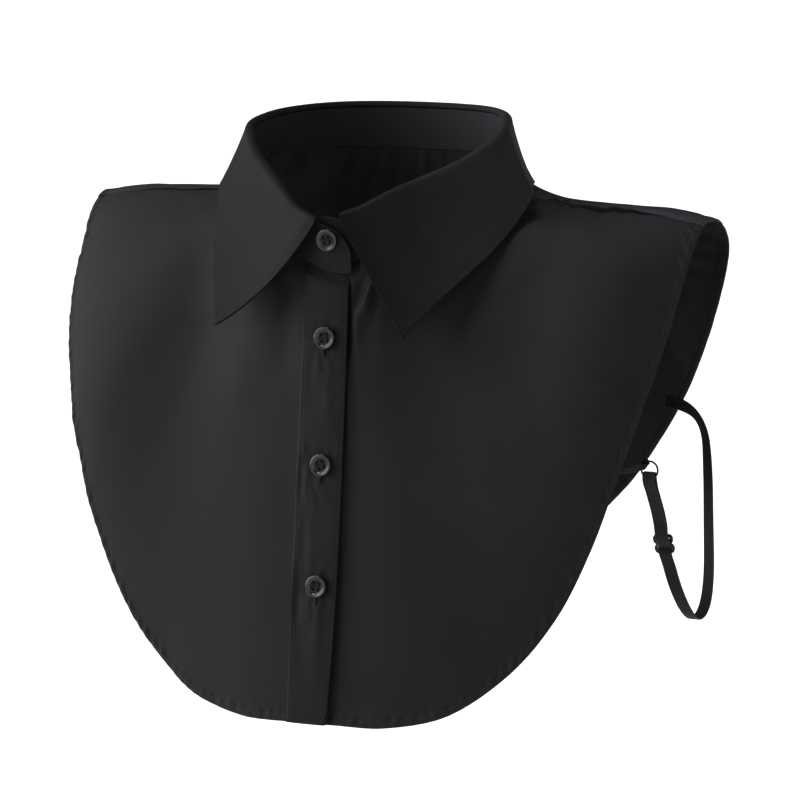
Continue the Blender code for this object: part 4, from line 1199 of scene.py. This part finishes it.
# Distance between the elastic's points as far as this much past the slider
STRAP_STEP = 0.8
SLIDER_FREE = 16
SLIDER_AT = 38.5
SLIDER_PITCH = 4.6
# The strap is pressed flat and a little wider where it runs through the slider
SLIDER_SHIFT = 0.12
SLIDER_SPREAD = 0.03
RETURN_SHIFT = 0.55
# Distance of the sewn square's middle from the strap's end
STRAP_SEWN = 3.2
# Millimetres from the end in the slider, and the painted light the elastic gets there, negative for painted shade
STRAP_PAINTED_LIGHT = np.array([(0, -0.1), (74, -0.1), (84, -0.25), (130, -0.25), (148, 0.3), (185, 0.25), (205, 0.0),
                         (222, -0.4), (245, -0.85), (266, -0.9)])
# X, y, z of the strap's middle line, and its width's bearing and rise in degrees
STRAP_ROWS = np.array([
    (161.8, -28, -133.1, 0, 0),
    (162, -27.6, -137.5, 2, 0),
    (163.2, -20.5, -153, 6, 0),
    (163.6, -12.5, -172.5, 9, 0),
    (164.8, -3, -191.5, 10, 0),
    (165.6, 9, -205.5, 6, 0),
    (165.4, 21, -211, -2, 0),
    (165, 32.5, -206, -9, 0),
    (164.4, 38.5, -191, -14, 0),
    (163, 41, -165, -18, 0),
    (161.4, 43, -139, -22, 5),
    (159.2, 44, -122, -34, 25),
    (153.6, 45, -112.6, -46, 45),
    (144.8, 46.5, -108.4, -33, 66),
    (136.5, 47.5, -107.2, -8, 84),
])
STRAP_GAP = 0.3
BAR = 0.5
ROUND_WIRE = RING_WIRE + STRAP_GAP + STRAP_WALL / 2
ROUND_BAR = BAR + STRAP_GAP + STRAP_WALL / 2
TWO_LAYERS = STRAP_WALL + STRAP_GAP
# How far behind the middle line each layer lies, at distances from the slider
RUNNING_LAYER = np.array([
    (-SLIDER_AT, -ROUND_WIRE),
    (-SLIDER_AT + 3.5, -ROUND_WIRE),
    (-SLIDER_AT + 9, -TWO_LAYERS / 2),
    (-SLIDER_PITCH - 6, -TWO_LAYERS / 2),
    (-SLIDER_PITCH - 1.2, ROUND_BAR),
    (-SLIDER_PITCH + 0.9, ROUND_BAR),
    (-1.0, -ROUND_BAR),
    (1.0, -ROUND_BAR),
    (SLIDER_PITCH - 0.9, ROUND_BAR),
    (SLIDER_PITCH + 1.2, ROUND_BAR),
    (SLIDER_PITCH + 8, 0.0),
])
RETURN_LAYER = np.array([
    (-SLIDER_AT, ROUND_WIRE),
    (-SLIDER_AT + 3.5, ROUND_WIRE),
    (-SLIDER_AT + 9, TWO_LAYERS / 2),
    (-SLIDER_PITCH - 6, TWO_LAYERS / 2),
    (-SLIDER_PITCH - 1.2, ROUND_BAR + TWO_LAYERS),
    (-SLIDER_PITCH + 1.4, ROUND_BAR + TWO_LAYERS),
    (0.0, ROUND_BAR),
])


def ribbed_elastic():
    """Knitted elastic: fine cross-wise rows between the ribs, paler where the ribs rub, and made lighter and
    darker along the strap by painted light and shade.
    """
    knit = Finish("black_elastic", {"Specular IOR Level": 0.05, "Sheen Weight": 0.008, "Roughness": 0.6})
    rows = knit.bands("Y", 0.7, 0.8)
    fuzz = knit.noise(knit.solid, 1500, 3)
    tone = knit.sum_of(knit.ranged(fuzz, 0.3, 0.7, 0.05, 0.45), knit.wear_and_painted_light())
    tone = knit.sum_of(tone, knit.ranged(rows, 0, 1, -0.1, 0.15))
    knit.colour(tone, (0.0012, 0.0012, 0.0012), (0.0280, 0.0280, 0.0285))
    knit.bump(knit.sum_of(rows, fuzz), 0.5, 0.12)
    return knit.made


def rib_profile():
    """The elastic's section: five ribs on each face and a rounded selvedge."""
    top = []
    for x in np.linspace(-1, 1, 41):
        crest = 0.5 + 0.5 * math.cos(math.pi * 5 * (x + 1))
        side = math.sqrt(max(0.0, 1 - abs(x) ** 8))
        top.append((x * STRAP_WIDTH / 2, (STRAP_WALL / 2 - 0.14 * crest) * max(side, 0.12), 0.45 * (1 - crest)))
    return two_faced(top)


def strap_line(side):
    """Points, ways across and distances along the strap's middle line."""
    rows = np.concatenate([STRAP_ROWS[:1], STRAP_ROWS])
    stops = []
    for i, (here, there) in enumerate(zip(STRAP_ROWS, STRAP_ROWS[1:]), start=1):
        count = max(1, round(float(np.linalg.norm((there - here)[:3]))))
        stops += [between(rows, 1, i + k / count) for k in range(count)]
    stops = np.array(stops + [STRAP_ROWS[-1]])
    line = np.array([hang(side, point) for point in stops[:, :3]])
    bearing, rise = np.radians(stops[:, 3]), np.radians(stops[:, 4])
    across = np.stack([np.cos(bearing) * np.cos(rise), np.sin(bearing) * np.cos(rise), np.sin(rise)], 1)
    across[:, 0] *= side
    return line, across, run_length(line)


def strap(side, word, finish):
    """One ribbon from the slider's bar up round the ring, down through the slider and round to the back."""
    line, across, distance = strap_line(side)

    def place(where, shift):
        ahead = unit(point_at(where + 0.5, distance, line) - point_at(where - 0.5, distance, line))
        way = point_at(where, distance, across)
        behind = unit(np.cross(ahead, way)) * side
        return point_at(where, distance, line) + behind * shift, way, ahead, behind

    def layer(table, where):
        return place(where, np.interp(where - SLIDER_AT, *table.T))[:2]

    start, way, ahead, behind = place(0.0, 0.0)
    route = [layer(RETURN_LAYER, where) for where in np.arange(SLIDER_AT + STRAP_STEP, 0, -STRAP_STEP)]
    route += [(start + ROUND_WIRE * (behind * math.cos(turn) - ahead * math.sin(turn)), way)
              for turn in np.radians(range(0, 181, 12))]
    single = SLIDER_AT + SLIDER_FREE
    route += [layer(RUNNING_LAYER, where) for where in (
        *np.arange(STRAP_STEP, single, STRAP_STEP), *np.arange(single + 0.5, distance[-1], 1.5), distance[-1])]
    points = relaxed(np.array([point for point, _ in route]), 2)
    ways = np.array([way for _, way in route])
    in_slider = bell(np.linalg.norm(points - point_at(SLIDER_AT, distance, line), axis=1), 6.0)
    sideways = SLIDER_SHIFT * in_slider + RETURN_SHIFT * np.exp(-((run_length(points) / 9.0) ** 4))
    points = points + ways * sideways[:, None]
    # Painted light and painted shade along the strap, darkest at its end on the back
    pale_from_wear_and_light = np.interp(run_length(points), *STRAP_PAINTED_LIGHT.T)
    piece = ribbon(f"elastic_{word}", f"strap_{word}", points, ways, rib_profile(), finish,
                   1 + SLIDER_SPREAD * in_slider, pale_from_wear_and_light)
    end, way, ahead, behind = place(distance[-1] - STRAP_SEWN, 0.0)
    lines = [[end + way * across_by * 2.2 + ahead * t for t in np.linspace(-3, 3, 8)] for across_by in (-1, 1)]
    lines += [[end + ahead * t + way * s for s in np.linspace(-2.4, 2.4, 8)] for t in (-3, 0, 3)]
    runs = []
    for spots in lines:
        for face in (-1, 1):
            ways = np.tile(behind * face, (8, 1))
            runs += sewn_run(np.array(spots), ways, STRAP_WALL / 2 + 0.05, length=1.3, gap=0.3)
    return piece, stitches(f"elastic_stitches_{word}", runs, black_thread)


elastic = ribbed_elastic()
straps = [*strap(LEFT, "left", elastic), *strap(RIGHT, "right", elastic)]


# ------------------------------ Camera, floor and light
# The camera stands a little to the wearer's left of the front and looks slightly down on the garment,
# which hangs over a pale floor in soft daylight from the wearer's right.

TURN, RISE, AWAY = math.radians(27), math.radians(7.5), 2.6
# The picture's width in pixels, the size of one at the garment, and where the centre of the neck shows
PICTURE, PIXEL = 800, 0.0005
NECK_SHOWS_AT = (379, 183)
FLOOR_DROP = 0.60
back_way = np.array([math.sin(TURN) * math.cos(RISE), -math.cos(TURN) * math.cos(RISE), math.sin(RISE)])
right_way = np.array([math.cos(TURN), math.sin(TURN), 0.0])
up_way = np.cross(back_way, right_way)
stand_at = back_way * AWAY + right_way * (PICTURE / 2 - NECK_SHOWS_AT[0]) * PIXEL
stand_at = stand_at - up_way * (PICTURE / 2 - NECK_SHOWS_AT[1]) * PIXEL
camera = new_form(bpy.ops.object.camera_add, location=stand_at)
camera.matrix_world = set_at(right_way, up_way, back_way, stand_at)
camera.data.sensor_width = 36
camera.data.lens = camera.data.sensor_width * AWAY / (PICTURE * PIXEL)
camera.data.clip_start = 0.1
camera.data.clip_end = 100
bpy.context.scene.camera = camera
bpy.context.scene.view_settings.view_transform = "Standard"

floor = new_form(bpy.ops.mesh.primitive_plane_add, size=90, location=(0, 0, -FLOOR_DROP))
floor.name = "floor"
paper = bpy.data.materials.new("white_paper")
paper.use_nodes = True
paper.node_tree.nodes["Principled BSDF"].inputs["Base Color"].default_value = (0.92, 0.92, 0.92, 1)
paper.node_tree.nodes["Principled BSDF"].inputs["Roughness"].default_value = 0.9
floor.data.materials.append(paper)

world = bpy.data.worlds.new("studio")
bpy.context.scene.world = world
world.use_nodes = True
world.node_tree.nodes["Background"].inputs["Color"].default_value = (1, 1, 1, 1)
world.node_tree.nodes["Background"].inputs["Strength"].default_value = 0.08

# Bearing, height and spread of each light in degrees, and its strength
for name, bearing, height, spread, strength in (("key", -64, 15, 70, 6.7), ("side", 100, 15, 70, 1.6),
                                                ("front", 27, 15, 70, 1.2), ("top", -60, 76, 25, 2.0)):
    lamp = new_form(bpy.ops.object.light_add, type="SUN", location=(0, 0, 2))
    lamp.name = name
    lamp.data.energy = strength
    lamp.data.angle = math.radians(spread)
    bearing, height = math.radians(bearing), math.radians(height)
    shine = Vector((math.sin(bearing) * math.cos(height), -math.cos(bearing) * math.cos(height), math.sin(height)))
    lamp.rotation_mode = "QUATERNION"
    lamp.rotation_quaternion = shine.to_track_quat("Z", "Y")
